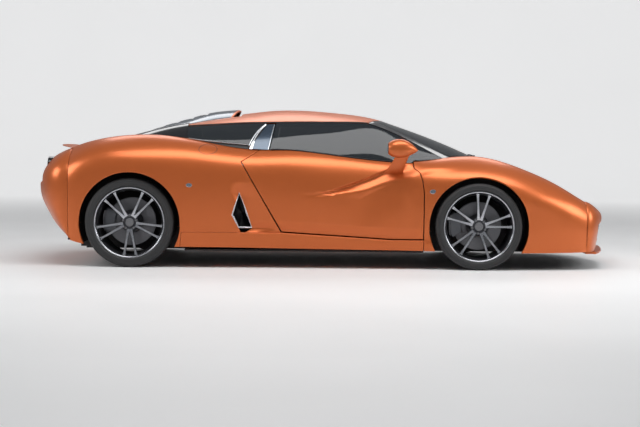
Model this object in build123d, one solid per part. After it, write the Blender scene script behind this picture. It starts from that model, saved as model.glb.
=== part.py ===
"""Two-seat mid-engined supercar, in millimetres: +X forward, +Y to the car's left, +Z up.

The origin is on the ground, under the middle of the car's length and width. The body is a set of
panels cut from one smooth skin. The skin runs through a table of half sections, and each panel is
the space between that skin and a surface further in, so that its edges lie where the real panels meet.
"""

from build123d import *
import math
import os

import numpy as np

# ---- driving dimensions -------------------------------------------------------------------------
WHEELBASE = 2560
FRONT_OVERHANG = 1045
REAR_OVERHANG = 755
HALF_WIDTH = 950  # at the rear haunch
GROUND_CLEARANCE = 112

FRONT_TYRE_R, FRONT_TYRE_WIDTH = 320, 235
REAR_TYRE_R, REAR_TYRE_WIDTH = 328, 295
RIM_R = 259  # outside of the rim's lip
WHEEL_INSET_FRONT, WHEEL_INSET_REAR = 36, 22  # from HALF_WIDTH to the tyre's outer face
FRONT_ARCH_R, REAR_ARCH_R = 367, 374

PANEL_T = 16  # fenders, lids and quarter panels
GLASS_T = 5
SHUT_GAP = 7  # round doors and lids
TRIM_GAP = 0.8  # between two fixed parts
SEAT_GAP = 0.3  # between pieces that rest on each other, or a pin and its bore
CURVED_GAP = 0.8  # the same, between two freely curved faces

FRONT_AXLE_X = (WHEELBASE + REAR_OVERHANG - FRONT_OVERHANG) / 2
REAR_AXLE_X = FRONT_AXLE_X - WHEELBASE
NOSE_X = FRONT_AXLE_X + FRONT_OVERHANG
TAIL_X = REAR_AXLE_X - REAR_OVERHANG
CABIN_STRETCH = WHEELBASE / 2560  # the rows and lines between the axles are written for that wheelbase
CABIN_DX = 600  # what lies further than this behind the front axle, or ahead of the rear one, stretches

# ---- body lines ---------------------------------------------------------------------------------
# Each row is a half section of the lower body at dx from an axle. A pair is (in from HALF_WIDTH, height).
# The last column is the height on the centreline. Rows between the wheel arches stretch with the cabin.
#  axle     dx    bottom      low         waist       shoulder    crest       inner       centre
BODY_ROWS = (
    ("front", 925, (250, 136), (232, 222), (226, 305), (252, 372), (330, 434), (550, 428), 424),
    ("front", 815, (176, 133), (160, 232), (156, 332), (184, 424), (260, 490), (520, 476), 466),
    ("front", 615, (108, 130), (90, 255), (82, 400), (114, 515), (220, 604), (505, 580), 572),
    ("front", 365, (62, 128), (45, 275), (34, 450), (62, 605), (205, 716), (480, 682), 672),
    ("front", 0, (46, 128), (35, 295), (20, 510), (47, 692), (210, 811), (450, 792), 790),
    ("front", -335, (66, 136), (58, 285), (46, 540), (72, 692), (176, 786), (450, 806), 815),
    ("front", -685, (68, 140), (62, 285), (52, 560), (80, 706), (150, 788), (450, 806), 815),
    ("front", -1135, (62, 144), (56, 288), (44, 570), (76, 742), (155, 838), (450, 836), 835),
    ("rear", 1125, (56, 147), (50, 290), (36, 582), (70, 774), (165, 866), (450, 866), 866),
    ("rear", 865, (50, 150), (42, 296), (27, 592), (64, 780), (165, 868), (450, 880), 885),
    ("rear", 425, (34, 152), (20, 300), (6, 615), (50, 828), (168, 926), (450, 938), 942),
    ("rear", 0, (30, 152), (14, 310), (0, 632), (46, 846), (188, 950), (450, 944), 940),
    ("rear", -325, (56, 165), (36, 320), (24, 604), (70, 806), (212, 897), (450, 906), 908),
    ("rear", -475, (104, 205), (84, 340), (68, 578), (114, 742), (246, 836), (470, 868), 872),
    ("rear", -645, (236, 300), (222, 400), (214, 556), (250, 660), (330, 745), (500, 800), 812),
)
LINE_AT = {
    "bottom": 0.0,
    "low": 0.9,
    "waist": 2.0,
    "shoulder": 2.9,
    "crest": 3.6,
    "inner": 5.0,
    "centre": 7.0,
}


class Curve:
    """A natural cubic spline through (xs, ys), with straight ends beyond them."""

    def __init__(self, xs, ys):
        order = np.argsort(xs)
        self.x = np.asarray(xs, float)[order]
        self.y = np.asarray(ys, float)[order]
        n, h = len(self.x), np.diff(self.x)
        a, rhs = np.eye(n), np.zeros(n)
        for i in range(1, n - 1):
            a[i, i - 1 : i + 2] = h[i - 1], 2 * (h[i - 1] + h[i]), h[i]
            rhs[i] = 6 * ((self.y[i + 1] - self.y[i]) / h[i] - (self.y[i] - self.y[i - 1]) / h[i - 1])
        self.m = np.linalg.solve(a, rhs)

    def __call__(self, x):
        low, high = self.x[0], self.x[-1]
        inside = min(max(x, low), high)
        i = int(min(max(np.searchsorted(self.x, inside) - 1, 0), len(self.x) - 2))
        h = self.x[i + 1] - self.x[i]
        p, q = (self.x[i + 1] - inside) / h, (inside - self.x[i]) / h
        y = p * self.y[i] + q * self.y[i + 1]
        y += ((p**3 - p) * self.m[i] + (q**3 - q) * self.m[i + 1]) * h * h / 6
        slope = (self.y[i + 1] - self.y[i]) / h
        slope += ((1 - 3 * p * p) * self.m[i] + (3 * q * q - 1) * self.m[i + 1]) * h / 6
        return float(y + slope * (x - inside))


def row_x(axle, dx):
    """Where a row of BODY_ROWS lies along the car."""
    if axle == "front":
        return FRONT_AXLE_X + (dx * CABIN_STRETCH if dx < -CABIN_DX else dx)
    return REAR_AXLE_X + (dx * CABIN_STRETCH if dx > CABIN_DX else dx)


def cabin_x(dx):
    """Where a line of the cabin lies, dx from the front axle."""
    return FRONT_AXLE_X + dx * CABIN_STRETCH


def body_lines():
    """{line name: (half width over x, height over x)} for the lines of BODY_ROWS."""
    xs = [row_x(row[0], row[1]) for row in BODY_ROWS]
    lines = {}
    for k, name in enumerate(LINE_AT):
        cells = [row[2 + k] for row in BODY_ROWS]
        if name == "centre":
            lines[name] = (lambda x: 0.0, Curve(xs, cells))
        else:
            lines[name] = (Curve(xs, [HALF_WIDTH - c[0] for c in cells]), Curve(xs, [c[1] for c in cells]))
    return lines


LINES = body_lines()
SECTIONS = {}


def section(x):
    """The half section at x as two curves of v, half width and height, smooth across the centreline."""
    key = round(x, 3)
    if key not in SECTIONS:
        v = list(LINE_AT.values())
        y = [LINES[name][0](x) for name in LINE_AT]
        z = [LINES[name][1](x) for name in LINE_AT]
        mirrored_v = v + [2 * v[-1] - a for a in reversed(v[:-1])]
        SECTIONS[key] = (
            Curve(mirrored_v, y + [-a for a in reversed(y[:-1])]),
            Curve(mirrored_v, z + list(reversed(z[:-1]))),
        )
    return SECTIONS[key]


def skin(x, v):
    """(half width, height) of the body skin at x, for v in LINE_AT's units."""
    y, z = section(x)
    return y(v), z(v)


def solve(f, target, low, high):
    """The v between low and high where f, rising or falling all the way, reaches target."""
    rising = f(high) > f(low)
    for _ in range(40):
        middle = (low + high) / 2
        if (f(middle) < target) == rising:
            low = middle
        else:
            high = middle
    return (low + high) / 2


def v_at_half_width(x, y):
    """v where the top of the skin at x is y from the centreline."""
    return solve(section(x)[0], y, LINE_AT["shoulder"], LINE_AT["centre"])


def top_height(x, y):
    """Height of the hood or deck skin over the point x, y."""
    return section(x)[1](v_at_half_width(x, abs(y)))


# ---- making solids ------------------------------------------------------------------------------
def surface(point, across, along):
    """A smooth face through point(s, t), with s and t from 0 to 1."""
    grid = [[Vector(*point(s, t)) for t in np.linspace(0, 1, along)] for s in np.linspace(0, 1, across)]
    return Face.make_surface_from_array_of_points(grid, tol=0.3, min_deg=3, max_deg=3)


def slab(outer, inner, across=16, along=10):
    """The solid between two surfaces, closed by ruled sides."""
    face_a, face_b = surface(outer, across, along), surface(inner, across, along)
    far = list(face_b.edges())
    sides = []
    for edge in face_a.edges():
        middle = edge @ 0.5
        partner = min(far, key=lambda e: (e @ 0.5 - middle).length)
        sides.append(Face.make_surface_from_curves(edge, partner))
    return Solid(Shell([face_a, face_b] + sides))


def inward(point, depth, towards):
    """The surface depth in from point(s, t), along its normal, on the side where the point towards lies."""
    step = 1e-3

    def moved(s, t):
        p = np.array(point(s, t), float)
        ds = np.array(point(s + step, t), float) - np.array(point(s - step, t), float)
        dt = np.array(point(s, t + step), float) - np.array(point(s, t - step), float)
        n = np.cross(ds, dt)
        n /= np.linalg.norm(n)
        if np.dot(n, np.array(towards, float) - p) < 0:
            n = -n
        return tuple(p + n * depth)

    return moved


def sheet(point, thickness, towards, across=16, along=10):
    """A panel of even thickness under the surface point(s, t)."""
    return slab(point, inward(point, thickness, towards), across, along)


def side_prism(points, y0=300, y1=1400):
    """The prism over an outline of (x, z) points, between two distances left of the centreline."""
    outline = Plane.XZ * Polygon(*points, align=None)
    return extrude(outline, (y1 - y0) / 2, both=True).moved(Location((0, (y0 + y1) / 2, 0)))


def plan_prism(points, z0=50, z1=1300):
    """The prism over an outline of (x, y) points, between two heights."""
    outline = Polygon(*points, align=None)
    return extrude(outline, (z1 - z0) / 2, both=True).moved(Location((0, 0, (z0 + z1) / 2)))


def front_prism(points, x0, x1):
    """The prism over an outline of (y, z) points, between two places along the car."""
    outline = Plane.YZ * Polygon(*points, align=None)
    return extrude(outline, (x1 - x0) / 2, both=True).moved(Location(((x0 + x1) / 2, 0, 0)))


def block(x0, x1, y0, y1, z0, z1):
    return Box(x1 - x0, y1 - y0, z1 - z0).moved(Location(((x0 + x1) / 2, (y0 + y1) / 2, (z0 + z1) / 2)))


def across_car(radius, length, x, y, z):
    """A cylinder along Y, with its middle at x, y, z."""
    return Cylinder(radius, length, rotation=(90, 0, 0)).moved(Location((x, y, z)))


def along_car(radius, length, x, y, z):
    """A cylinder along X, with its middle at x, y, z."""
    return Cylinder(radius, length, rotation=(0, 90, 0)).moved(Location((x, y, z)))


def mirrored(shape):
    return shape.mirror(Plane.XZ)


def joined(*shapes):
    """The shapes as one compound of solids that don't touch."""
    return Compound(children=[solid for shape in shapes for solid in shape.solids()])


def both(shape):
    return joined(shape, mirrored(shape))


def sides(name, shape):
    """The same piece on both sides of the car, each in its own node."""
    NODES[name + "_left"] = shape
    NODES[name + "_right"] = mirrored(shape)


NODES = {}


def add(name, shape):
    NODES[name] = shape


# ---- body panels --------------------------------------------------------------------------------
DOOR_FRONT_DX = -404  # from the front axle, the front shut line at the sill
DOOR_REAR_DX = 1112  # from the rear axle, the door's rear corner at the sill
DOOR_KINK_DX, DOOR_KINK_Z = 814, 779  # the rearmost point of the door
DOOR_TOP_DX = 961  # from the rear axle, where the rear shut line meets the belt
DOOR_INNER_Y = 735  # the door's inner face
DOOR_STEP_Y, DOOR_STEP = 850, 22  # inside this, the door's rear face is that much further forward
SILL_Z_FRONT, SILL_Z_REAR = 214, 262  # top of the sill
SILL_FLAT_DX = -640  # from the front axle, where the sill's top starts to rise
SILL_GAP = 10  # under the door
SILL_REAR_DX = (360, 380)  # from the rear axle, the joint of sill and quarter panel, at its foot and top

FENDER_END_DX = 810  # from the front axle, the joint of fender and bumper
NOSE_JOINT_Y = 600  # half width at which that joint turns across the car
HOOD_NOSE_DX = 912  # from the front axle, the hood's front edge on the centreline
HOOD_REAR_DX, HOOD_REAR_SWEEP = 125, 290  # its rear edge, and how far the corners lie behind that
HOOD_REAR_Y = 650
HOOD_CORNER_Y = 608  # its rear corners are cut off outside this
HOOD_EDGE = Curve(
    [FRONT_AXLE_X + dx for dx in (-560, -335, -170, 200, 600, 860)], [775, 722, HOOD_REAR_Y, 592, 480, 400]
)  # half width of the opening for hood, cowl and windscreen
QUARTER_END_DX = -455  # from the rear axle, the joint of quarter panel and rear bumper
QUARTER_TOP_V = 4.05  # how far over the top the quarter panel reaches, in LINE_AT's units


def nose_edge(y, gap=0.0):
    """x of the joint between hood and front bumper, y from the centreline."""
    reach = HOOD_NOSE_DX - FENDER_END_DX
    share = min(abs(y) / NOSE_JOINT_Y, 1.0)
    return FRONT_AXLE_X + FENDER_END_DX + reach * math.sqrt(1 - share**2) + gap


def hood_rear(y, gap=0.0):
    """x of the hood's rear edge, y from the centreline."""
    return FRONT_AXLE_X + HOOD_REAR_DX - HOOD_REAR_SWEEP * (y / HOOD_REAR_Y) ** 2 + gap


def sill_top(x):
    """Height of the sill's top at x."""
    start, end = FRONT_AXLE_X + SILL_FLAT_DX, REAR_AXLE_X + DOOR_REAR_DX
    share = min(max((x - start) / (end - start), 0.0), 1.0)
    return SILL_Z_FRONT + (SILL_Z_REAR - SILL_Z_FRONT) * share


def door_outline(gap):
    """The door's outline in (x, z), grown by gap."""
    front, rear = FRONT_AXLE_X + DOOR_FRONT_DX + gap, REAR_AXLE_X + DOOR_REAR_DX - gap
    flat = FRONT_AXLE_X + SILL_FLAT_DX
    return [
        (rear, sill_top(rear) + SILL_GAP),
        (REAR_AXLE_X + DOOR_KINK_DX - gap, DOOR_KINK_Z),
        (REAR_AXLE_X + DOOR_TOP_DX - gap, LINES["crest"][1](REAR_AXLE_X + DOOR_TOP_DX) + 12),
        (REAR_AXLE_X + DOOR_TOP_DX - gap, 1000),
        (front - 104, 1000),
        (front - 74, 743),
        (front - 32, 711),
        (front - 12, 651),
        (front, 560),
        (front, SILL_Z_FRONT + SILL_GAP),
        (flat, SILL_Z_FRONT + SILL_GAP),
    ]


def side_skin(x0, x1, v0, v1):
    """The left side of the skin as a surface of (s, t), along the car and up."""

    def point(s, t):
        x = x0 + (x1 - x0) * s
        y, z = skin(x, v0 + (v1 - v0) * t)
        return x, y, z

    return point


def to_plane(point, y):
    """The surface point(s, t) moved across onto a plane at y."""
    return lambda s, t: (point(s, t)[0], y, point(s, t)[2])


ARCHES = {  # x, radius, height of the middle
    "front": (FRONT_AXLE_X, FRONT_ARCH_R, FRONT_TYRE_R - 2),
    "rear": (REAR_AXLE_X, REAR_ARCH_R, REAR_TYRE_R - 2),
}


def arch(axle, grow=0, y0=500, y1=1400):
    """The wheel arch's cutter on the left side."""
    x, r, z = ARCHES[axle]
    return across_car(r + grow, y1 - y0, x, (y0 + y1) / 2, z)


def intake_outline():
    """The side intake behind the door, as (x, z)."""
    return [(REAR_AXLE_X + dx, z) for dx, z in ((802, 556), (748, 392), (824, 250), (898, 292), (850, 440))]


DOOR_HINGE_DX, DOOR_HINGE_Y = -515, 884  # from the front axle, and out from the centreline
DOOR_HINGE_Z = (400, 560)  # heights of the two hinges
DOOR_NOTCH = 24  # half height of the pocket round each hinge arm
HINGE_PIN_R = 6
HINGE_BORE_R = HINGE_PIN_R + SEAT_GAP


def make_doors():
    x0, x1 = REAR_AXLE_X + DOOR_KINK_DX - 20, FRONT_AXLE_X + DOOR_FRONT_DX + 20
    outer = side_skin(x0, x1, 0.2, LINE_AT["crest"])
    door = slab(outer, to_plane(outer, DOOR_INNER_Y), 24, 12) & side_prism(door_outline(-SHUT_GAP / 2))
    gap = SHUT_GAP / 2
    rear, kink, top = (REAR_AXLE_X + dx + gap for dx in (DOOR_REAR_DX, DOOR_KINK_DX, DOOR_TOP_DX))
    door -= side_prism(
        [
            (rear + DOOR_STEP, 200),
            (rear + DOOR_STEP, sill_top(rear) + SILL_GAP),
            (kink + DOOR_STEP, DOOR_KINK_Z),
            (top + DOOR_STEP, 870),
            (top + DOOR_STEP, 1000),
            (kink - 100, 1000),
            (kink - 100, 200),
        ],
        DOOR_INNER_Y - 20,
        DOOR_STEP_Y,
    )
    x, y = FRONT_AXLE_X + DOOR_HINGE_DX, DOOR_HINGE_Y
    for z in DOOR_HINGE_Z:
        door -= block(x - 16, x + 150, DOOR_INNER_Y - 10, y + 7, z - DOOR_NOTCH, z + DOOR_NOTCH)
        door -= Cylinder(HINGE_BORE_R, 2 * DOOR_NOTCH + 20).moved(Location((x, y, z)))
    sides("door", door)


def make_fenders():
    gap = SHUT_GAP / 2
    rear_x = FRONT_AXLE_X + DOOR_FRONT_DX + gap
    end_x = FRONT_AXLE_X + FENDER_END_DX
    outer = side_skin(rear_x - 130, FRONT_AXLE_X + 900, LINE_AT["bottom"], 5.5)
    fender = sheet(outer, PANEL_T, (FRONT_AXLE_X, 0, 300), 34, 18) - arch("front")
    fender &= side_prism(
        [
            (rear_x - 104, 1000),
            (rear_x - 74, 743),
            (rear_x - 32, 711),
            (rear_x - 12, 651),
            (rear_x, 560),
            (rear_x, 100),
            (end_x + 150, 100),
            (end_x + 150, 1000),
        ]
    )
    hood_side = [(x, HOOD_EDGE(x) + gap) for x in np.linspace(rear_x - 140, end_x + 40, 12)]
    hood_side.append((nose_edge(HOOD_EDGE(end_x + 60), -TRIM_GAP), HOOD_EDGE(end_x + 60) + gap))
    turn = [(nose_edge(y, -TRIM_GAP), y) for y in np.linspace(hood_side[-1][1] + 12, NOSE_JOINT_Y, 6)]
    fender &= plan_prism(hood_side + turn + [(end_x - TRIM_GAP, 1400), (rear_x - 140, 1400)])
    sides("fender", fender)


def make_quarters():
    gap = SHUT_GAP / 2
    a = REAR_AXLE_X
    outer = side_skin(a - 645, a + DOOR_REAR_DX + 10, LINE_AT["bottom"], QUARTER_TOP_V)
    quarter = sheet(outer, PANEL_T, (a, 0, 400), 34, 16) - arch("rear")
    top = a + DOOR_TOP_DX - gap
    quarter &= side_prism(
        [
            (a + QUARTER_END_DX, 100),
            (a + QUARTER_END_DX, 1000),
            (top, 1000),
            (top, LINES["crest"][1](top) + 12),
            (a + DOOR_KINK_DX - gap, DOOR_KINK_Z),
            (a + DOOR_REAR_DX - gap, sill_top(a + DOOR_REAR_DX) + TRIM_GAP),
            (a + SILL_REAR_DX[1], SILL_Z_REAR + TRIM_GAP),
            (a + SILL_REAR_DX[0], 100),
        ]
    )
    quarter -= side_prism(intake_outline())
    sides("quarter", quarter)


LINER_OUT = {"front": 20, "rear": 14}  # from the arch's edge out to the liner
LINER_T = 4


def make_sills():
    x0, x1 = REAR_AXLE_X + REAR_ARCH_R - 30, FRONT_AXLE_X - FRONT_ARCH_R + 30
    outer = side_skin(x0, x1, LINE_AT["bottom"], 1.1)
    sill = slab(outer, to_plane(outer, DOOR_INNER_Y - 15), 20, 8)
    front, back = FRONT_AXLE_X + SILL_FLAT_DX, REAR_AXLE_X + DOOR_REAR_DX
    foot, top = (REAR_AXLE_X + dx + TRIM_GAP for dx in SILL_REAR_DX)
    sill &= side_prism(
        [
            (foot, 100),
            (top, SILL_Z_REAR),
            (back, SILL_Z_REAR),
            (front, SILL_Z_FRONT),
            (x1, SILL_Z_FRONT),
            (x1, 100),
        ]
    )
    sill -= arch("front", LINER_OUT["front"] + 6)
    sill -= arch("rear", LINER_OUT["rear"] + 6)
    door_x = FRONT_AXLE_X + DOOR_FRONT_DX
    sill -= block(door_x, x1, 860, 1400, 100, 300)
    add("sills", both(sill))


HOOD_HINGE_X = FRONT_AXLE_X - 145
HOOD_LUG_Y = (612, 624)
HOOD_HINGE_Z = 768


def make_hood():
    over = 12  # the sheet runs on that far, and is then cut to the opening

    def point(s, t):
        share = 2 * t - 1
        y = HOOD_REAR_Y * share
        for _ in range(4):  # y depends on x through the side edge
            x0, x1 = hood_rear(y) - over, nose_edge(y, over)
            x = x0 + (x1 - x0) * s
            y = (HOOD_EDGE(x) + over) * share
        return x, y, top_height(x, y)

    gap = SHUT_GAP / 2
    end_x = FRONT_AXLE_X + FENDER_END_DX
    side = [(x, HOOD_EDGE(x) - gap) for x in np.linspace(HOOD_HINGE_X + 10, end_x + 60, 12)]
    corner = side[-1][1]
    front = [(nose_edge(y, -SHUT_GAP), y) for y in np.linspace(corner - 8, -corner + 8, 13)]
    rear = [(hood_rear(y), y) for y in np.linspace(-HOOD_CORNER_Y, HOOD_CORNER_Y, 15)]
    hood = sheet(point, PANEL_T, (FRONT_AXLE_X, 0, 0), 18, 17)
    hood &= plan_prism(side + front + [(x, -y) for x, y in reversed(side)] + rear)
    x, z = HOOD_HINGE_X, HOOD_HINGE_Z
    y0, y1 = HOOD_LUG_Y
    skin_z = [top_height(x + dx, y0) - PANEL_T / 2 for dx in (36, 56)]
    lug = side_prism(
        [
            (x - 8, z - 9),
            (x + 12, z - 9),
            (x + 56, skin_z[1] - 12),
            (x + 56, skin_z[1]),
            (x + 36, skin_z[0]),
            (x + 12, z + 12),
            (x - 8, z + 8),
        ],
        y0,
        y1,
    )
    hood += lug + mirrored(lug)
    add("hood", hood - across_car(HINGE_BORE_R, 1400, x, 0, z))


# ---- bumpers ------------------------------------------------------------------------------------
# Profiles on the centreline, from the bottom up: (from the tip of nose or tail, height).
NOSE_PROFILE = ((88, 136), (74, 190), (50, 270), (34, 340), (32, 392), (66, 418), (133, 426))
TAIL_PROFILE = ((330, 165), (180, 262), (90, 360), (22, 470), (0, 560), (14, 680), (110, 800), (250, 868))
NOSE_WALL_X = FRONT_AXLE_X + 785  # front face of the wall across the nose
GRILLE_DEPTH, REAR_GRILLE_DEPTH = 60, 50  # behind the bumpers' outer faces
GRILLE_T = 8
NOSE_FULLNESS, TAIL_FULLNESS = 2.0, 2.5  # 2 is an ellipse in plan, more is squarer
# Outlines in (y, z), cut on both sides of the centreline.
NOSE_OPENINGS = (((210, 205), (640, 225), (690, 330), (560, 352), (250, 340)),)
REAR_OPENING = ((700, 620), (660, 775), (300, 815), (0, 815), (0, 600), (560, 600))


def rounded(angle, fullness):
    """(along, across) on a unit superellipse, at an angle from straight ahead."""
    c, s = math.cos(angle), math.sin(angle)
    r = (abs(c) ** fullness + abs(s) ** fullness) ** (-1 / fullness)
    return c * r, s * r


def end_cap(end_x, v_top, profile, tip_x, sign, fullness, half_turn=math.pi / 2):
    """The skin that wraps round the nose or tail, from side to side and bottom to top."""
    n = len(profile)
    centre_x = Curve(range(n), [tip_x - sign * a for a, z in profile])
    centre_z = Curve(range(n), [z for a, z in profile])

    def point(s, t):
        along, across = rounded((2 * s - 1) * half_turn, fullness)
        y, z = skin(end_x, v_top * t)
        k = (n - 1) * t
        x = end_x + (centre_x(k) - end_x) * along
        return x, y * across, z + (centre_z(k) - z) * along**2

    return point


def make_bumpers():
    end = FRONT_AXLE_X + FENDER_END_DX
    nose = end_cap(end, 3.95, NOSE_PROFILE, NOSE_X, 1, NOSE_FULLNESS)
    bumper = sheet(nose, PANEL_T, (end - 200, 0, 300), 30, 14)
    for outline in NOSE_OPENINGS:
        for side in (1, -1):
            bumper -= front_prism([(side * y, z) for y, z in outline], end + 20, NOSE_X + 60)
    add("front_bumper", bumper)
    inside = (end - 200, 0, 300)
    backing = inward(nose, GRILLE_DEPTH, inside)
    grille = sheet(lambda s, t: backing(0.06 + 0.88 * s, 0.1 + 0.72 * t), GRILLE_T, inside, 26, 10)
    for turn in (0.41, 0.59):  # brackets back to the wall across the nose
        x, y, z = backing(turn, 0.36)
        grille += block(NOSE_WALL_X + SEAT_GAP, x - 4, y - 14, y + 14, z - 8, z + 8)
    add("front_grilles", grille)

    end = REAR_AXLE_X + QUARTER_END_DX - TRIM_GAP
    tail = end_cap(end, 3.75, TAIL_PROFILE, TAIL_X, -1, TAIL_FULLNESS)
    bumper = sheet(tail, PANEL_T, (end + 200, 0, 500), 30, 16)
    opening = [(y, z) for y, z in REAR_OPENING] + [(-y, z) for y, z in reversed(REAR_OPENING)]
    bumper -= front_prism(opening, TAIL_X - 60, end - 20)
    add("rear_bumper", bumper)
    inside = (end + 200, 0, 500)
    backing = inward(tail, REAR_GRILLE_DEPTH, inside)
    grille = sheet(lambda s, t: backing(0.08 + 0.84 * s, 0.5 + 0.42 * t), GRILLE_T, inside, 26, 10)
    add("rear_grille", grille)


# ---- cabin --------------------------------------------------------------------------------------
GREENHOUSE_ROWS = (  # x from the front axle, belt (y, z), rail (y, z), the roof's height on the centreline
    (-160, (705, 786), (560, 905), 915),
    (-535, (762, 786), (574, 1012), 1040),
    (-700, (770, 790), (586, 1062), 1098),
    (-1025, (786, 828), (600, 1084), 1152),
    (-1320, (790, 852), (604, 1082), 1172),
    (-1535, (792, 872), (604, 1078), 1168),
    (-1755, (782, 894), (602, 1072), 1142),
    (-1985, (762, 918), (600, 1058), 1106),
    (-2175, (742, 936), (600, 1044), 1062),
    (-2590, (702, 948), (590, 962), 968),
)
GREENHOUSE_X = [cabin_x(row[0]) for row in GREENHOUSE_ROWS]
BELT = [Curve(GREENHOUSE_X, [row[1][i] for row in GREENHOUSE_ROWS]) for i in (0, 1)]
RAIL = [Curve(GREENHOUSE_X, [row[2][i] for row in GREENHOUSE_ROWS]) for i in (0, 1)]
ROOF_Z = Curve(GREENHOUSE_X, [row[3] for row in GREENHOUSE_ROWS])
GLASS_BULGE = 14  # how far the side glass bows outward half way up
ROOF_CROWN = 2.6  # exponent of the roof's arch across the car
# On the centreline, (x from the front axle, z), from the header down.
WINDSCREEN_PROFILE = ((-680, 1092), (-495, 1031), (-303, 962), (-105, 882), (100, 790))
HEADER_X = cabin_x(WINDSCREEN_PROFILE[0][0])
SCREEN_SWEEP = (95, 300)  # how far its side edges lie behind the centreline, at header and base
SCREEN_DROP = (26, 8)
PILLAR_LINE = ((-807, 1072), (-742, 1052), (-525, 957), (-220, 795))  # lower edge of the pillar, as above
PILLAR_X = [cabin_x(p[0]) for p in PILLAR_LINE]
PILLAR_Z = Curve(PILLAR_X, [p[1] for p in PILLAR_LINE])
PILLAR_WIDTH = (78.5, 48.2)  # from the screen's edge out to the side glass, at header and base
PILLAR_T = 20
ROOF_MID_X = cabin_x(-1135)
ROOF_REAR_X = cabin_x(-2157)  # rear end of the roof's rails
SCOOP_X = cabin_x(-1789)  # rear edge of the roof between the rails, ahead of the cover's lip


def glass_side(x, t):
    """(y, z) on the greenhouse side at x, from the belt (t=0) to the rail (t=1)."""
    bow = GLASS_BULGE * 4 * t * (1 - t)
    return (
        BELT[0](x) + (RAIL[0](x) - BELT[0](x)) * t + 0.8 * bow,
        BELT[1](x) + (RAIL[1](x) - BELT[1](x)) * t + 0.6 * bow,
    )


def side_place(x, z):
    """How far from belt to rail the greenhouse side reaches the height z at x."""
    return solve(lambda t: glass_side(x, t)[1], z, -0.3, 1.1)


# Half width of the windscreen at header and base.
SCREEN_HALF = [
    glass_side(PILLAR_X[k], side_place(PILLAR_X[k], PILLAR_LINE[k][1]))[0] - width
    for k, width in zip((0, -1), PILLAR_WIDTH)
]


def roof_height(x, y):
    share = min(abs(y) / RAIL[0](x), 1.2)
    return ROOF_Z(x) - (ROOF_Z(x) - RAIL[1](x)) * share**ROOF_CROWN


def windscreen_point(s, share):
    """On the windscreen, s from header to base, share from -1 to 1 across."""
    k = s * (len(WINDSCREEN_PROFILE) - 1)
    x, z = WINDSCREEN[0](k), WINDSCREEN[1](k)
    sweep, drop, half = (a + (b - a) * s for a, b in (SCREEN_SWEEP, SCREEN_DROP, SCREEN_HALF))
    x, y, z = x - sweep * share**2, half * share, z - drop * share**2
    top_x, top_z = HEADER_X - SCREEN_SWEEP[0] * share**2, WINDSCREEN_PROFILE[0][1] - SCREEN_DROP[0] * share**2
    miss = roof_height(top_x, SCREEN_HALF[0] * share) - top_z
    return x, y, z + miss * (1 - s) ** 3


WINDSCREEN = [
    Curve(range(len(WINDSCREEN_PROFILE)), column)
    for column in ([cabin_x(dx) for dx, z in WINDSCREEN_PROFILE], [z for dx, z in WINDSCREEN_PROFILE])
]


def belt_cut(x):
    """Height at which the side glass ends above the door, or the panels before and behind it."""
    front, rear = FRONT_AXLE_X + DOOR_FRONT_DX - 74, REAR_AXLE_X + DOOR_TOP_DX
    if rear < x < front:
        return LINES["crest"][1](x) + TRIM_GAP
    return max(top_height(x, BELT[0](x)), top_height(x, BELT[0](x) - 14)) + TRIM_GAP


def side_glass(x0, x1, t0=-0.15, t1=1.0):
    def point(s, t):
        x = x0 + (x1 - x0) * s
        y, z = glass_side(x, t0 + (t1 - t0) * t)
        return x, y, z

    return point


def belt_line(x0, x1, lift=0.4, steps=15):
    return [(x, belt_cut(x) + lift) for x in np.linspace(x0, x1, steps)]


def pillar_line(x0, x1, gap, steps=7):
    """The edge of the side glass along the windscreen pillar."""
    return [(x, PILLAR_Z(x) - 1.3 * gap) for x in np.linspace(x0, x1, steps)]


def rail_line(x0, x1, drop, steps=7):
    return [(x, RAIL[1](x) - drop) for x in np.linspace(x0, x1, steps)]


GLASS_REAR_X = (cabin_x(-1544), cabin_x(-1504))  # door glass to pillar panel, at belt and rail
PANEL_REAR_X = (cabin_x(-1695), cabin_x(-1563))  # rear edge of the pillar panel, the same
PANEL_TOP_Z = 1080
GLASS_FRONT_X = cabin_x(-560)  # door glass to front quarter glass
GLASS_DROP = 12  # from the roof's rail down to the side glass
OVER = 50  # how far a glass sheet runs past the outline that cuts it


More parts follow.
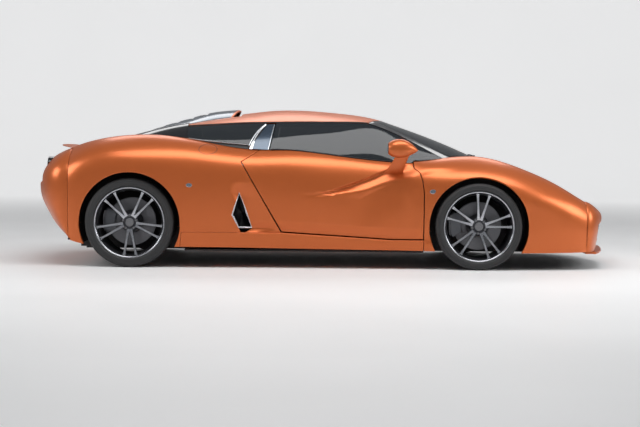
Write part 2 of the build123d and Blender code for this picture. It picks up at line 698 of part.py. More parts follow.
def make_greenhouse():
    gap = SHUT_GAP / 2
    inside = (ROOF_MID_X, 0, 900)
    pane = sheet(side_glass(GLASS_REAR_X[0] - OVER, GLASS_FRONT_X + OVER), GLASS_T, inside, 16, 10)
    pane &= side_prism(
        belt_line(GLASS_REAR_X[0] + gap, GLASS_FRONT_X - gap)
        + pillar_line(GLASS_FRONT_X - gap, PILLAR_X[0] + 44, SHUT_GAP)
        + rail_line(PILLAR_X[0] + 2, GLASS_REAR_X[1] + gap + 2, GLASS_DROP)
    )
    sides("door_glass", pane)
    tip = PILLAR_X[-1] - 43  # where belt and pillar close the front quarter glass
    front = sheet(side_glass(GLASS_FRONT_X - OVER, tip + 2 * OVER), GLASS_T, inside, 12, 10)
    front &= side_prism(belt_line(GLASS_FRONT_X + gap, tip) + pillar_line(tip - 4, GLASS_FRONT_X + gap, gap))
    front -= below_skin(GLASS_FRONT_X - OVER, PILLAR_X[-1] + 2 * OVER, CURVED_GAP)
    rear = sheet(side_glass(ROOF_REAR_X - OVER, PANEL_REAR_X[1] - GLASS_DROP), GLASS_T, inside, 12, 10)
    rear &= side_prism(
        belt_line(ROOF_REAR_X, PANEL_REAR_X[0] - TRIM_GAP)
        + [(PANEL_REAR_X[1] - TRIM_GAP, PANEL_TOP_Z)]
        + rail_line(PANEL_REAR_X[1] - 15, ROOF_REAR_X, GLASS_DROP)
    )
    add("quarter_glass", joined(both(front), both(rear)))
    panel = sheet(side_glass(PANEL_REAR_X[0] - OVER, GLASS_REAR_X[1] + OVER), PANEL_T - 2, inside, 12, 10)
    panel &= side_prism(
        [
            (PANEL_REAR_X[0], belt_cut(PANEL_REAR_X[0])),
            (GLASS_REAR_X[0] - gap, belt_cut(GLASS_REAR_X[0])),
            (GLASS_REAR_X[1] - gap, RAIL[1](GLASS_REAR_X[1]) - 20),
            (PANEL_REAR_X[1], RAIL[1](PANEL_REAR_X[1]) - 20),
        ]
    )
    add("pillar_panels", both(panel))

    windscreen = sheet(lambda s, t: windscreen_point(s, 2 * t - 1), GLASS_T, inside, 14, 13)
    add("windscreen", windscreen)

    def pillar(s, t, depth=0.0):
        """Between the screen's edge and the side glass; depth is along each glass's own normal."""
        edge = 1 + TRIM_GAP / SCREEN_HALF[0]
        near = inward(lambda a, b: windscreen_point(a, edge + b), depth, (HEADER_X, 0, 700))(s, 0)
        x = PILLAR_X[0] + (PILLAR_X[-1] - PILLAR_X[0]) * s
        t_side = side_place(x, PILLAR_Z(x))
        far = inward(lambda a, b: (x + a,) + glass_side(x + a, t_side + b), depth, (x, 0, 700))(0, 0)
        return tuple(a + (b - a) * t for a, b in zip(near, far))

    post = slab(pillar, lambda s, t: pillar(s, t, PILLAR_T), 12, 5)
    post -= below_skin(GLASS_FRONT_X - OVER, PILLAR_X[-1] + 2 * OVER, CURVED_GAP)
    add("windscreen_pillars", both(post))


def below_skin(x0, x1, gap):
    """The left side's body tops with what lies below them, for trimming what stands on them."""
    top = side_skin(x0, x1, LINE_AT["crest"] - 0.3, 5.4)
    lifted = inward(top, -gap, (x0, 0, 0))
    return slab(lifted, lambda s, t: lifted(s, t)[:2] + (600,), 14, 12)


# ---- roof, engine cover, tail -------------------------------------------------------------------
COVER_ROWS = (  # x from the front axle, height on the centreline, half width, how far the edge lies lower
    (-1797, 1173, 372, 62),
    (-2035, 1146, 405, 64),
    (-2196, 1101, 430, 50),
    (-2414, 1034, 474, 34),
    (-2595, 958, 520, 10),
)
COVER_X = [cabin_x(row[0]) for row in COVER_ROWS]
COVER_Z, COVER_HALF, COVER_DROP = (Curve(COVER_X, [row[k] for row in COVER_ROWS]) for k in (1, 2, 3))
COVER_T = 18
SCOOP_SWEEP = 50  # how far the corners of its mouth lie back
DECK_GAP = 5  # between the tail deck and the quarter panels, whose edges lean inward
LID_REAR_GAP = 12  # behind the engine cover, which swings back a little as it lifts
ROOF_FRAME_INSET, ROOF_FRAME_T = 30, 26  # the frame under the roof's edge
LIP_HALF, LIP_FOOT = 560, 40  # the tail lip's half width, and how far ahead of the deck's edge it starts
LIP_REACH, LIP_RISE, LIP_T = 140, 24, 9
BULKHEAD_X, BULKHEAD_Z = cabin_x(-1605), 900  # rear face of the wall behind the seats, and its top
COVER_HINGE = (COVER_X[0] - 38, 1148)  # (x, z)


def header_x(y, gap=0.0):
    """x of the roof's front edge, y from the centreline."""
    return HEADER_X - SCREEN_SWEEP[0] * (y / SCREEN_HALF[0]) ** 2 + gap


def roof_point(s, t, inset=0.0):
    share = 2 * t - 1
    y = share * (RAIL[0](ROOF_MID_X) - inset)
    x = header_x(y, -2 * TRIM_GAP - inset) * (1 - s) + (ROOF_REAR_X + inset) * s
    y = share * (RAIL[0](x) - inset)
    return x, y, roof_height(x, y)


def cover_span(gap):
    """The plan outline of the space that the engine cover takes, grown by gap."""
    xs = np.linspace(SCOOP_X + 2 * gap, COVER_X[-1] - 60, 8)
    edge = [(x, COVER_HALF(x) + gap) for x in xs]
    return edge + [(x, -y) for x, y in reversed(edge)]


def make_roof():
    inside = (ROOF_MID_X, 0, 800)
    add("roof", sheet(roof_point, PANEL_T, inside, 22, 17) - plan_prism(cover_span(SHUT_GAP)))
    under, lining = (
        inward(lambda s, t: roof_point(s, t, ROOF_FRAME_INSET), depth, inside)
        for depth in (PANEL_T + CURVED_GAP, PANEL_T + ROOF_FRAME_T)
    )
    ring = slab(under, lining, 22, 17) - plan_prism(cover_span(SHUT_GAP + 12))
    front, back = PILLAR_X[0] + 2, PANEL_REAR_X[1] - 2
    ring -= plan_prism([(front, 470), (back, 500), (back, -500), (front, -470)])
    ring -= block(ROOF_REAR_X - 200, SCOOP_X - 26, -1000, 1000, 900, 1300)
    for y in (-540, 540):
        ring += block(BULKHEAD_X, BULKHEAD_X + 29, y - 20, y + 20, BULKHEAD_Z, 1075)
    x, z = COVER_HINGE
    arm_x = SCOOP_X + 2 * SHUT_GAP + 50
    arm_z = roof_height(arm_x, 0) - PANEL_T - 20
    ring += block(x - 12, arm_x, -40, 40, arm_z - 22, arm_z) + block(x - 12, x, -40, 40, arm_z - 22, z + 2)
    ring += across_car(HINGE_PIN_R, 150, x, 0, z)
    add("roof_frame", ring)


def cover_point(s, t):
    share = 2 * t - 1
    x = COVER_X[0] + (COVER_X[-1] - COVER_X[0]) * s
    x -= SCOOP_SWEEP * (1 - s) * share**2
    return x, share * COVER_HALF(x), COVER_Z(x) - COVER_DROP(x) * abs(share) ** 3


def make_engine_cover():
    cover = sheet(cover_point, COVER_T, (COVER_X[2], 0, 500), 20, 15)
    x, z = COVER_HINGE
    lug = block(x - 12, x + 12, 52, 70, z - 14, COVER_Z(x) - COVER_T / 2)
    add("engine_cover", cover + lug + mirrored(lug) - across_car(HINGE_BORE_R, 160, x, 0, z))


def make_sails():
    def point(s, t):
        x = (ROOF_REAR_X - TRIM_GAP) * (1 - s) + (COVER_X[-1] - 4) * s
        low, rail = glass_side(x, -0.1), (RAIL[0](x), RAIL[1](x))
        inner = (COVER_HALF(x) + SHUT_GAP, roof_height(x, COVER_HALF(x)) - 4)
        pull = tuple(2 * b - (a + c) / 2 for a, b, c in zip(low, rail, inner))
        weights = ((1 - t) ** 2, 2 * t * (1 - t), t**2)
        return (x,) + tuple(sum(w * c for w, c in zip(weights, column)) for column in zip(low, pull, inner))

    front, back = ROOF_REAR_X - TRIM_GAP, COVER_X[-1] - 15
    sail = sheet(point, 12, ((front + back) / 2, 0, 700), 12, 14)
    sail -= below_skin(back - 25, front + 40, CURVED_GAP)
    sail &= side_prism([(back, 850), (front, 850), (front, 1300), (back, 1300)])
    sail = sail.solids().sort_by(SortBy.VOLUME)[-1]
    add("sail_panels", both(sail))


def make_tail_deck():
    end = REAR_AXLE_X + QUARTER_END_DX - TRIM_GAP
    cap = end_cap(end, 3.75, TAIL_PROFILE, TAIL_X, -1, TAIL_FULLNESS)
    rim = [cap(s, 1) for s in np.linspace(0, 1, 41)]
    edge, edge_z = (Curve([p[1] for p in rim], [p[k] for p in rim]) for k in (0, 2))
    front = COVER_X[-1] - LID_REAR_GAP
    over = 10  # the sheet runs on that far, and is then cut to the opening

    def half(x):
        return skin(x, QUARTER_TOP_V)[0] - DECK_GAP

    def point(s, t):
        share = 2 * t - 1
        x = front
        for _ in range(3):
            y = share * (half(x) + over)
            x = front + (edge(y) - over - front) * s
        return x, y, top_height(x, y) + min(s, 1) ** 3 * (edge_z(y) - top_height(edge(y), y))

    side = [(x, half(x)) for x in np.linspace(front, end + 6, 16)]
    rear_y = np.linspace(half(end), -half(end), 17)
    outline = side + [(edge(y), y) for y in rear_y] + [(x, -y) for x, y in reversed(side)]
    deck = sheet(point, PANEL_T, (REAR_AXLE_X, 0, 500), 14, 17) & plan_prism(outline)
    add("tail_deck", deck + deck_lip(edge, edge_z))
    cut = [(edge(y) - TRIM_GAP, y * 1.001) for y in rear_y]
    cut = [(end + 60, half(end) + 1)] + cut + [(end + 60, -half(end) - 1)]
    NODES["rear_bumper"] -= plan_prism(cut, 780, 1000)


def deck_lip(edge, edge_z):
    """The raised lip along the deck's rear edge, a blade that leans back and thins towards its ends."""
    across = np.linspace(-LIP_HALF, LIP_HALF, 13)
    shares = [1 - abs(y / LIP_HALF) ** 4 for y in across]

    def strip(back, up):
        return [
            (edge(y) + LIP_FOOT - back * (0.2 + 0.8 * a), y, edge_z(y) + up * (0.2 + 0.8 * a))
            for y, a in zip(across, shares)
        ]

    corners = ((0, -2), (LIP_REACH, LIP_RISE - LIP_T), (LIP_REACH, LIP_RISE), (0, 6))
    sections = zip(*[strip(back, up) for back, up in corners])
    return Solid.make_loft([Wire.make_polygon(corners) for corners in sections], ruled=True)


# ---- chassis and cabin --------------------------------------------------------------------------
FLOOR_T = 12
SPLITTER_REAR_X = FRONT_AXLE_X + 817
SPLITTER_REACH = 88  # ahead of the bumper's lower edge, on the centreline
FLOOR_Z = GROUND_CLEARANCE + FLOOR_T
BAY_HALF, BAY_T = 512, 12  # side plates between the wheels and the bays
STEERING_RAKE = -66
COLUMN_REACH = 60
BOX_T = 8  # wall of the luggage box
SHELF_Z = 712  # top of the shelf under the windscreen and hood hinges
TUB_DOOR_GAP = 51  # between the tub's side and the door's inner face, which swings in as it opens
TUB_HALF = DOOR_INNER_Y - TUB_DOOR_GAP
TUB_SIDE_T = 44
TUNNEL_HALF = 120
SEAT_HALF = 235
SEAT_Y = (TUNNEL_HALF + TUB_HALF - TUB_SIDE_T) / 2
STEERING_X, STEERING_Z = cabin_x(-839), 668  # the steering wheel's middle
STEERING_PLACE = Location((STEERING_X, SEAT_Y, STEERING_Z), (0, STEERING_RAKE, 0))  # its axis is the local Z
FLOOR_REAR_X = REAR_AXLE_X - 415
TOE_X = FRONT_AXLE_X - FRONT_ARCH_R - 26  # front face of the cabin


def make_chassis():
    front = SPLITTER_REAR_X - TRIM_GAP
    floor = block(FLOOR_REAR_X + 40, front, -BAY_HALF, BAY_HALF, GROUND_CLEARANCE, FLOOR_Z)
    floor += block(REAR_AXLE_X + REAR_ARCH_R + 14, TOE_X, -719, 719, GROUND_CLEARANCE, FLOOR_Z)
    for side in (1, -1):
        y0, y1 = sorted((side * (BAY_HALF - BAY_T), side * BAY_HALF))
        floor += block(TOE_X + TRIM_GAP, NOSE_WALL_X, y0, y1, FLOOR_Z, 420)
        floor += block(TOE_X + TRIM_GAP, FRONT_AXLE_X + 425, y0, y1, 420, 560)
        floor += block(FLOOR_REAR_X, BULKHEAD_X - TRIM_GAP, y0, y1, FLOOR_Z, 640)
    floor += block(NOSE_WALL_X - 20, NOSE_WALL_X, -BAY_HALF, BAY_HALF, FLOOR_Z, 400)
    floor += block(FLOOR_REAR_X, FLOOR_REAR_X + 20, -BAY_HALF, BAY_HALF, 440, 640)
    add("chassis", floor)


def make_tub():
    tub = block(BULKHEAD_X, TOE_X, -TUB_HALF, TUB_HALF, FLOOR_Z, 150)
    tub += block(BULKHEAD_X, BULKHEAD_X + 30, -TUB_HALF, TUB_HALF, 150, BULKHEAD_Z)
    tub += block(TOE_X - 12, TOE_X, -TUB_HALF, TUB_HALF, 150, SHELF_Z)
    tub += block(BULKHEAD_X, TOE_X, -TUNNEL_HALF, TUNNEL_HALF, 150, 400)
    tub += block(TOE_X, FRONT_AXLE_X + 105, -490, 490, 690, SHELF_Z)
    tub += block(HOOD_HINGE_X - 25, HOOD_HINGE_X + 25, -HOOD_LUG_Y[0] + 1, HOOD_LUG_Y[0] - 1, 700, SHELF_Z)
    x = FRONT_AXLE_X + DOOR_HINGE_DX
    for side in (1, -1):

        def wall(x0, x1, y0, y1, z0, z1):
            a, b = sorted((side * y0, side * y1))
            return block(x0, x1, a, b, z0, z1)

        tub += wall(HOOD_HINGE_X - 9, HOOD_HINGE_X + 9, 594, HOOD_LUG_Y[0] - SEAT_GAP, 700, HOOD_HINGE_Z + 6)
        pin_y = (HOOD_LUG_Y[1] + 596) / 2
        tub += across_car(HINGE_PIN_R, HOOD_LUG_Y[1] - 596, HOOD_HINGE_X, side * pin_y, HOOD_HINGE_Z)
        tub += wall(BULKHEAD_X, TOE_X, TUB_HALF - TUB_SIDE_T, TUB_HALF, 150, 360)
        tub += wall(x - 30, TOE_X, TUB_HALF - TUB_SIDE_T, TUB_HALF, 360, 755)
        for z in DOOR_HINGE_Z:
            arm = wall(x - HINGE_PIN_R, x + HINGE_PIN_R, TUB_HALF - 10, DOOR_HINGE_Y, z - 12, z + 12)
            pin = Cylinder(HINGE_PIN_R, 2 * DOOR_NOTCH + 16).moved(Location((x, side * DOOR_HINGE_Y, z)))
            tub += arm + pin
    add("cabin_tub", tub)


# Outlines in (x, z): the dashboard's x is behind the wall ahead of it, the seat's ahead of the bulkhead.
DASH_PROFILE = [(130, 768), (300, 742), (350, 690), (330, 560), (260, 520)]
SEAT_PROFILE = (
    (390, 150),
    (790, 150),
    (815, 290),
    (770, 335),
    (490, 300),
    (195, 925),
    (120, 950),
    (45, 900),
    (320, 250),
)


def make_cabin():
    outline = [(0, 520), (0, 750)] + DASH_PROFILE
    dash = Plane.XZ * Polygon(*[(TOE_X - 12 - a, z) for a, z in outline], align=None)
    dashboard = extrude(dash, TUB_HALF - TUB_SIDE_T - 22, both=True)
    seat = Plane.XZ * Polygon(*[(BULKHEAD_X + a, z) for a, z in SEAT_PROFILE], align=None)
    seat = extrude(seat, SEAT_HALF, both=True).moved(Location((0, SEAT_Y, 0)))
    add("seats", both(seat))
    wheel = Torus(172, 14) + Box(316, 30, 14) + Cylinder(42, 30)
    wheel += Cylinder(18, COLUMN_REACH, align=(Align.CENTER, Align.CENTER, Align.MAX))
    add("steering_wheel", wheel.moved(STEERING_PLACE))
    shroud = Cylinder(30, 110, align=(Align.CENTER, Align.CENTER, Align.MAX))
    shroud = shroud.moved(STEERING_PLACE * Location((0, 0, -COLUMN_REACH - SEAT_GAP)))
    add("dashboard", dashboard + shroud)
    add("engine", block(REAR_AXLE_X + 95, BULKHEAD_X - 90, -330, 330, FLOOR_Z, 700))
    x0, x1, half = FRONT_AXLE_X - 135, FRONT_AXLE_X + 505, BAY_HALF - BAY_T - SEAT_GAP
    box = block(x0, x1, -half, half, 250, 556)
    box -= block(x0 + BOX_T, x1 - BOX_T, -half + BOX_T, half - BOX_T, 250 + BOX_T, 600)
    add("luggage_box", box)


# ---- wheels and suspension ----------------------------------------------------------------------
WHEELS = {  # axle x, tyre radius, tyre width, distance of its outer face from the centreline
    "front": (FRONT_AXLE_X, FRONT_TYRE_R, FRONT_TYRE_WIDTH, HALF_WIDTH - WHEEL_INSET_FRONT),
    "rear": (REAR_AXLE_X, REAR_TYRE_R, REAR_TYRE_WIDTH, HALF_WIDTH - WHEEL_INSET_REAR),
}
BEAD_R, BARREL_R = 246, 232
DISC_R, DISC_T = 178, 30
HUB_OFFSET = 38  # from the wheel's middle in to the disc's outer face
SPOKE_PAIRS = 5
SPOKE_ANGLE = {"front": 10.5, "rear": 55.5}  # of the first pair, from straight ahead, degrees
SPOKE_SPREAD = 10.5
ARM_Z, UPPER_ARM_Z = (215, 235), (440, 456)  # undersides and tops of the suspension arms
POST_R = 18  # of the upright between them


def ring(profile):
    """The solid made by turning a profile of (y, r) about the Y axis."""
    return revolve(Plane.XY * Polygon(*[(r, y) for y, r in profile], align=None), Axis.Y)


def make_wheels():
    for axle, (x, radius, width, outer_y) in WHEELS.items():
        half = width / 2
        place = Location((x, outer_y - half, radius))
        shoulder = 24
        tyre = ring(
            [
                (-half + 17, BEAD_R),
                (half - 17, BEAD_R),
                (half - 17, RIM_R + 1),
                (half - 4, RIM_R + 6),
                (half, RIM_R + 22),
                (half - 4, radius - shoulder),
                (half - shoulder, radius - 3),
                (half - 60, radius),
                (-half + 60, radius),
                (-half + shoulder, radius - 3),
                (-half + 4, radius - shoulder),
                (-half, RIM_R + 22),
                (-half + 4, RIM_R + 6),
                (-half + 17, RIM_R + 1),
            ]
        )
        sides(f"{axle}_tyre", tyre.moved(place))
        seat_r, lip = BEAD_R - SEAT_GAP, half - 17 + SEAT_GAP
        rim = ring(
            [
                (-lip - 6, BARREL_R),
                (lip + 6, BARREL_R + 10),
                (lip + 6, RIM_R),
                (lip, RIM_R),
                (lip, seat_r),
                (-lip, seat_r),
                (-lip, RIM_R),
                (-lip - 6, RIM_R),
            ]
        )
        face = half - 30
        rim += across_car(64, face - 6 + HUB_OFFSET, 0, (face - 6 - HUB_OFFSET) / 2, 0)
        for k in range(SPOKE_PAIRS):
            for lean in (-SPOKE_SPREAD, SPOKE_SPREAD):
                ends = (40, -17), (BARREL_R + 12, -13), (BARREL_R + 12, 13), (40, 17)
                spoke = Plane.XZ * Polygon(*ends, align=None)
                turn = SPOKE_ANGLE[axle] + k * 360 / SPOKE_PAIRS + lean
                spoke = extrude(spoke, 13, both=True).moved(Location((0, face - 16, 0)))
                rim += spoke.rotate(Axis.Y, -turn)
        rim += across_car(DISC_R, DISC_T, 0, -HUB_OFFSET - DISC_T / 2 + 0.01, 0)
        sides(f"{axle}_rim", rim.moved(place))


def make_carriers():
    for axle, (x, radius, width, outer_y) in WHEELS.items():
        disc_y = outer_y - width / 2 - HUB_OFFSET - DISC_T
        post_y = disc_y - 24
        post = Cylinder(POST_R, UPPER_ARM_Z[0] - ARM_Z[1] - 2 * SEAT_GAP)
        carrier = post.moved(Location((x, post_y, (UPPER_ARM_Z[0] + ARM_Z[1]) / 2)))
        carrier += across_car(46, disc_y - SEAT_GAP - post_y, x, (disc_y - SEAT_GAP + post_y) / 2, radius)
        outer = disc_y + DISC_T + 22
        caliper = block(x - 212, x - 120, disc_y - 20, outer, radius - 70, radius + 80)
        caliper -= across_car(DISC_R + 6, DISC_T + 10, x, disc_y + DISC_T / 2, radius)
        caliper -= across_car(400, 300, x, disc_y, radius) - across_car(216, 400, x, disc_y, radius)
        carrier += caliper + block(x - 150, x, post_y - 8, disc_y - 8, radius - 22, radius + 22)
        sides("front_knuckle" if axle == "front" else "rear_carrier", carrier)
    arms = []
    for axle, (x, radius, width, outer_y) in WHEELS.items():
        post_y = outer_y - width / 2 - HUB_OFFSET - DISC_T - 24
        for z0, z1 in (ARM_Z, UPPER_ARM_Z):
            arm = [(x - 90, BAY_HALF), (x - 20, post_y), (x + 20, post_y), (x + 90, BAY_HALF)]
            tip = Cylinder(POST_R + 2, z1 - z0).moved(Location((x, post_y, (z0 + z1) / 2)))
            arms.append(plan_prism(arm, z0, z1) + tip)
    add("suspension_arms", joined(*[both(arm) for arm in arms]))
    liners = []
    for axle, grow in LINER_OUT.items():
        x = FRONT_AXLE_X if axle == "front" else REAR_AXLE_X
        outer = side_skin(x - 430, x + 430, LINE_AT["bottom"], LINE_AT["crest"] - 0.05)
        lining = inward(outer, PANEL_T + CURVED_GAP, (x, 0, 400))
        inside = slab(lining, to_plane(outer, BAY_HALF + SEAT_GAP), 20, 12)
        liner = (inside & arch(axle, grow + LINER_T)) - arch(axle, grow)
        liner = liner.solids().sort_by(SortBy.VOLUME)[-1]
        liners.append(liner)
    add("wheel_liners", joined(*[both(liner) for liner in liners]))


# ---- lamps, mirrors and trim --------------------------------------------------------------------
# The headlamp's outline in plan, (x from the front axle, y).
HEADLAMP = ((555, 562), (605, 622), (741, 634), (791, 598), (799, 520), (745, 466), (655, 496))
LENS_T = 6
TAIL_LAMPS = ((600, 734, 111), (424, 734, 80))  # y, z, how far the face lies ahead of the tail's end
TAIL_LAMP_R, TAIL_LAMP_DEPTH = 64, 75
EXHAUST_X, EXHAUST_Y, EXHAUST_Z, EXHAUST_R = TAIL_X + 120, 470, 366, 40  # X is the tips' end


def make_lamps():
    lamp = [(FRONT_AXLE_X + dx, y) for dx, y in HEADLAMP]
    outer = side_skin(lamp[0][0] - 30, lamp[4][0] + 26, LINE_AT["crest"] - 0.4, 5.4)
    lens = sheet(outer, LENS_T, (lamp[0][0], 0, 300), 14, 12) & plan_prism(lamp, 350, 900)
    add("headlamps", both(lens))
    hole = plan_prism(grown(lamp, 2 * TRIM_GAP), 350, 900)
    NODES["fender_left"] -= hole
    NODES["fender_right"] -= mirrored(hole)
    lamps = []
    for y, z, ahead in TAIL_LAMPS:
        x = TAIL_X + ahead
        lamps.append(both(along_car(TAIL_LAMP_R, TAIL_LAMP_DEPTH, x + TAIL_LAMP_DEPTH / 2, y, z)))
        for side in (1, -1):
            hole = along_car(TAIL_LAMP_R + TRIM_GAP, 400, x, side * y, z)
            NODES["rear_grille"] -= hole
            NODES["rear_bumper"] -= hole
    add("tail_lamps", joined(*lamps))
    length = FLOOR_REAR_X - EXHAUST_X
    pipe = along_car(EXHAUST_R, length, EXHAUST_X + length / 2, EXHAUST_Y, EXHAUST_Z)
    pipe -= along_car(EXHAUST_R - 3, 100, EXHAUST_X + 30, EXHAUST_Y, EXHAUST_Z)
    box = block(FLOOR_REAR_X - 40, FLOOR_REAR_X - 2, -499, 499, 300, 430)
    add("exhausts", box + pipe + mirrored(pipe))
    for side in (1, -1):
        NODES["rear_bumper"] -= along_car(EXHAUST_R + 8, 400, EXHAUST_X + 60, side * EXHAUST_Y, EXHAUST_Z)


def grown(points, gap):
    """The outline with each point moved gap away from the middle."""
    middle = np.mean(points, axis=0)
    away = [np.array(p) - middle for p in points]
    return [tuple(middle + a * (1 + gap / np.linalg.norm(a))) for a in away]


MIRROR_X, MIRROR_Y, MIRROR_Z = cabin_x(-575), 985, 888  # the middle of the shell
MIRROR_SIZE = (115, 62, 68)  # half of the shell's length, width and height
STALK_PROFILE = ((-140, -222), (40, -182), (80, -42), (-40, -52))  # (x, z) from the shell's middle
STALK_LEAN, STALK_T, STALK_Y = -32, 16, 962  # lean in degrees, out from the door


def make_mirrors():
    middle = Location((MIRROR_X, MIRROR_Y, MIRROR_Z))
    shell = scale(Sphere(1), by=MIRROR_SIZE).moved(middle)
    blade = Plane.XZ * Polygon(*STALK_PROFILE, align=None)
    blade = extrude(blade, STALK_T / 2, both=True).rotate(Axis.X, STALK_LEAN)
    blade = blade.moved(middle * Location((0, STALK_Y - MIRROR_Y, 0)))
    outer = side_skin(MIRROR_X - 260, MIRROR_X + 160, 1.0, LINE_AT["crest"])
    inside = (MIRROR_X, 0, 500)
    mirror = shell + blade - slab(inward(outer, -CURVED_GAP, inside), to_plane(outer, 500), 16, 10)
    mirror = mirror.solids().sort_by(SortBy.VOLUME)[-1]
    sides("mirror", mirror)


def make_splitter():
    end = FRONT_AXLE_X + FENDER_END_DX
    nose = end_cap(end, 3.95, NOSE_PROFILE, NOSE_X, 1, NOSE_FULLNESS)
    edge = [nose(s, 0) for s in np.linspace(0, 1, 17)]
    edge = [(x, y) for x, y, z in edge if x > SPLITTER_REAR_X - 2]
    line = [(x + SPLITTER_REACH * (1 - 0.7 * abs(y) / 700), y * 0.98) for x, y in edge]
    corner = max(line, key=lambda p: p[1])[1]
    line = [(SPLITTER_REAR_X, -corner)] + line + [(SPLITTER_REAR_X, corner)]
    add("front_splitter", plan_prism(line, GROUND_CLEARANCE + 2, 130))


COWL_INSET = 90  # from the windscreen's lower corner in to the cowl's end


def make_cowl():
    def point(s, t):
        share = 2 * t - 1
        y = (SCREEN_HALF[1] - COWL_INSET) * share
        x0 = windscreen_point(1, y / SCREEN_HALF[1])[0] + 5
        x = x0 + (hood_rear(y) + 14 - x0) * s
        return x, y, top_height(x, y) - 36

    def under(s, t):
        return point(s, t)[:2] + (SHELF_Z + SEAT_GAP,)

    add("cowl", slab(point, under, 8, 15))


def build():
    make_doors()
    make_fenders()
    make_quarters()
    make_sills()
    make_hood()
    make_bumpers()
    make_greenhouse()
    make_roof()
    make_engine_cover()
    make_sails()
    make_tail_deck()
    make_chassis()
    make_tub()
    make_cabin()
    make_wheels()
    make_carriers()
    make_lamps()
    make_mirrors()
    make_splitter()
    make_cowl()


if __name__ == "__main__":
    os.makedirs("parts", exist_ok=True)
    build()
    for name, shape in NODES.items():
        export_step(shape, f"parts/{name}.step")
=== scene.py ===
import math

import bmesh
import bpy
import numpy as np
from mathutils import Matrix, Vector
from mathutils.geometry import delaunay_2d_cdt


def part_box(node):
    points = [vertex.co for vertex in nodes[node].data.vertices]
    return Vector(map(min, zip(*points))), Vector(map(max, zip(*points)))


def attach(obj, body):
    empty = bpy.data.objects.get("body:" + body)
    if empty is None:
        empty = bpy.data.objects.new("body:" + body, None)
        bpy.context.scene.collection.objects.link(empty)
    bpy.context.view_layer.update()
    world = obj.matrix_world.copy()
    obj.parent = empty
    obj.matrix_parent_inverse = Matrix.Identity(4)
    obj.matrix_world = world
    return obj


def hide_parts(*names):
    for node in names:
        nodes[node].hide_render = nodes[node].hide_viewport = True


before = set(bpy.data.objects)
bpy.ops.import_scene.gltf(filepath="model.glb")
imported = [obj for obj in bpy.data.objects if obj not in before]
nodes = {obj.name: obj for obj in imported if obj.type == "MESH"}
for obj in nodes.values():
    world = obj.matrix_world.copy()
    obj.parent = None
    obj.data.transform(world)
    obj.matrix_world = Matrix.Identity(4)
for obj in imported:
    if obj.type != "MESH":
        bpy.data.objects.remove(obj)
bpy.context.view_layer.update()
MM = 0.001

# ---- the car's lines, in millimetres, as in the part's source ------------------------------------
HALF_WIDTH = 950
FRONT_X, REAR_X = 1135, -1425  # axles
FRONT_R, REAR_R = 320, 328
FRONT_ARCH, REAR_ARCH = 367, 374
NOSE_X, TAIL_X = 2180, -2180
SHUT = 7  # gap round doors and lids
TRIM = 0.8  # gap between fixed panels
#  axle     dx    bottom      low         waist       shoulder    crest       inner       centre
BODY_ROWS = (
    ("front", 925, (250, 136), (232, 222), (226, 305), (252, 372), (330, 434), (550, 428), 424),
    ("front", 815, (176, 133), (160, 232), (156, 332), (184, 424), (260, 490), (520, 476), 466),
    ("front", 615, (108, 130), (90, 255), (82, 400), (114, 515), (220, 604), (505, 580), 572),
    ("front", 365, (62, 128), (45, 275), (34, 450), (62, 605), (205, 716), (480, 682), 672),
    ("front", 0, (46, 128), (35, 295), (20, 510), (47, 692), (210, 811), (450, 792), 790),
    ("front", -335, (66, 136), (58, 285), (46, 540), (72, 692), (176, 786), (450, 806), 815),
    ("front", -685, (68, 140), (62, 285), (52, 560), (80, 706), (150, 788), (450, 806), 815),
    ("front", -1135, (62, 144), (56, 288), (44, 570), (76, 742), (155, 838), (450, 836), 835),
    ("rear", 1125, (56, 147), (50, 290), (36, 582), (70, 774), (165, 866), (450, 866), 866),
    ("rear", 865, (50, 150), (42, 296), (27, 592), (64, 780), (165, 868), (450, 880), 885),
    ("rear", 425, (34, 152), (20, 300), (6, 615), (50, 828), (168, 926), (450, 938), 942),
    ("rear", 0, (30, 152), (14, 310), (0, 632), (46, 846), (188, 950), (450, 944), 940),
    ("rear", -325, (56, 165), (36, 320), (24, 604), (70, 806), (212, 897), (450, 906), 908),
    ("rear", -475, (104, 205), (84, 340), (68, 578), (114, 742), (246, 836), (470, 868), 872),
    ("rear", -645, (236, 300), (222, 400), (214, 556), (250, 660), (330, 745), (500, 800), 812),
)
LINE_V = (0.0, 0.9, 2.0, 2.9, 3.6, 5.0, 7.0)  # v of the lines, bottom to centre
BOTTOM, LOW, _, SHOULDER, CREST, _, CENTRE = LINE_V


class Curve:
    """Natural cubic splines through xs, one for each column of ys, straight beyond the ends."""

    def __init__(self, xs, ys):
        order = np.argsort(xs)
        self.x = np.asarray(xs, float)[order]
        self.y = np.asarray(ys, float)[order]
        self.m = self.bends(self.x) @ self.y

    @staticmethod
    def bends(x):
        """The matrix that turns the values at x into second derivatives."""
        n, h = len(x), np.diff(x)
        a, b = np.eye(n), np.zeros((n, n))
        for i in range(1, n - 1):
            a[i, i - 1 : i + 2] = h[i - 1], 2 * (h[i - 1] + h[i]), h[i]
            b[i, i - 1 : i + 2] = 6 / h[i - 1], -6 / h[i - 1] - 6 / h[i], 6 / h[i]
        return np.linalg.solve(a, b)

    def __call__(self, x):
        x = np.asarray(x, float)
        i = np.clip(np.searchsorted(self.x, x) - 1, 0, len(self.x) - 2)
        return spline_value(self.x, x, i, self.y[i], self.y[i + 1], self.m[i], self.m[i + 1])


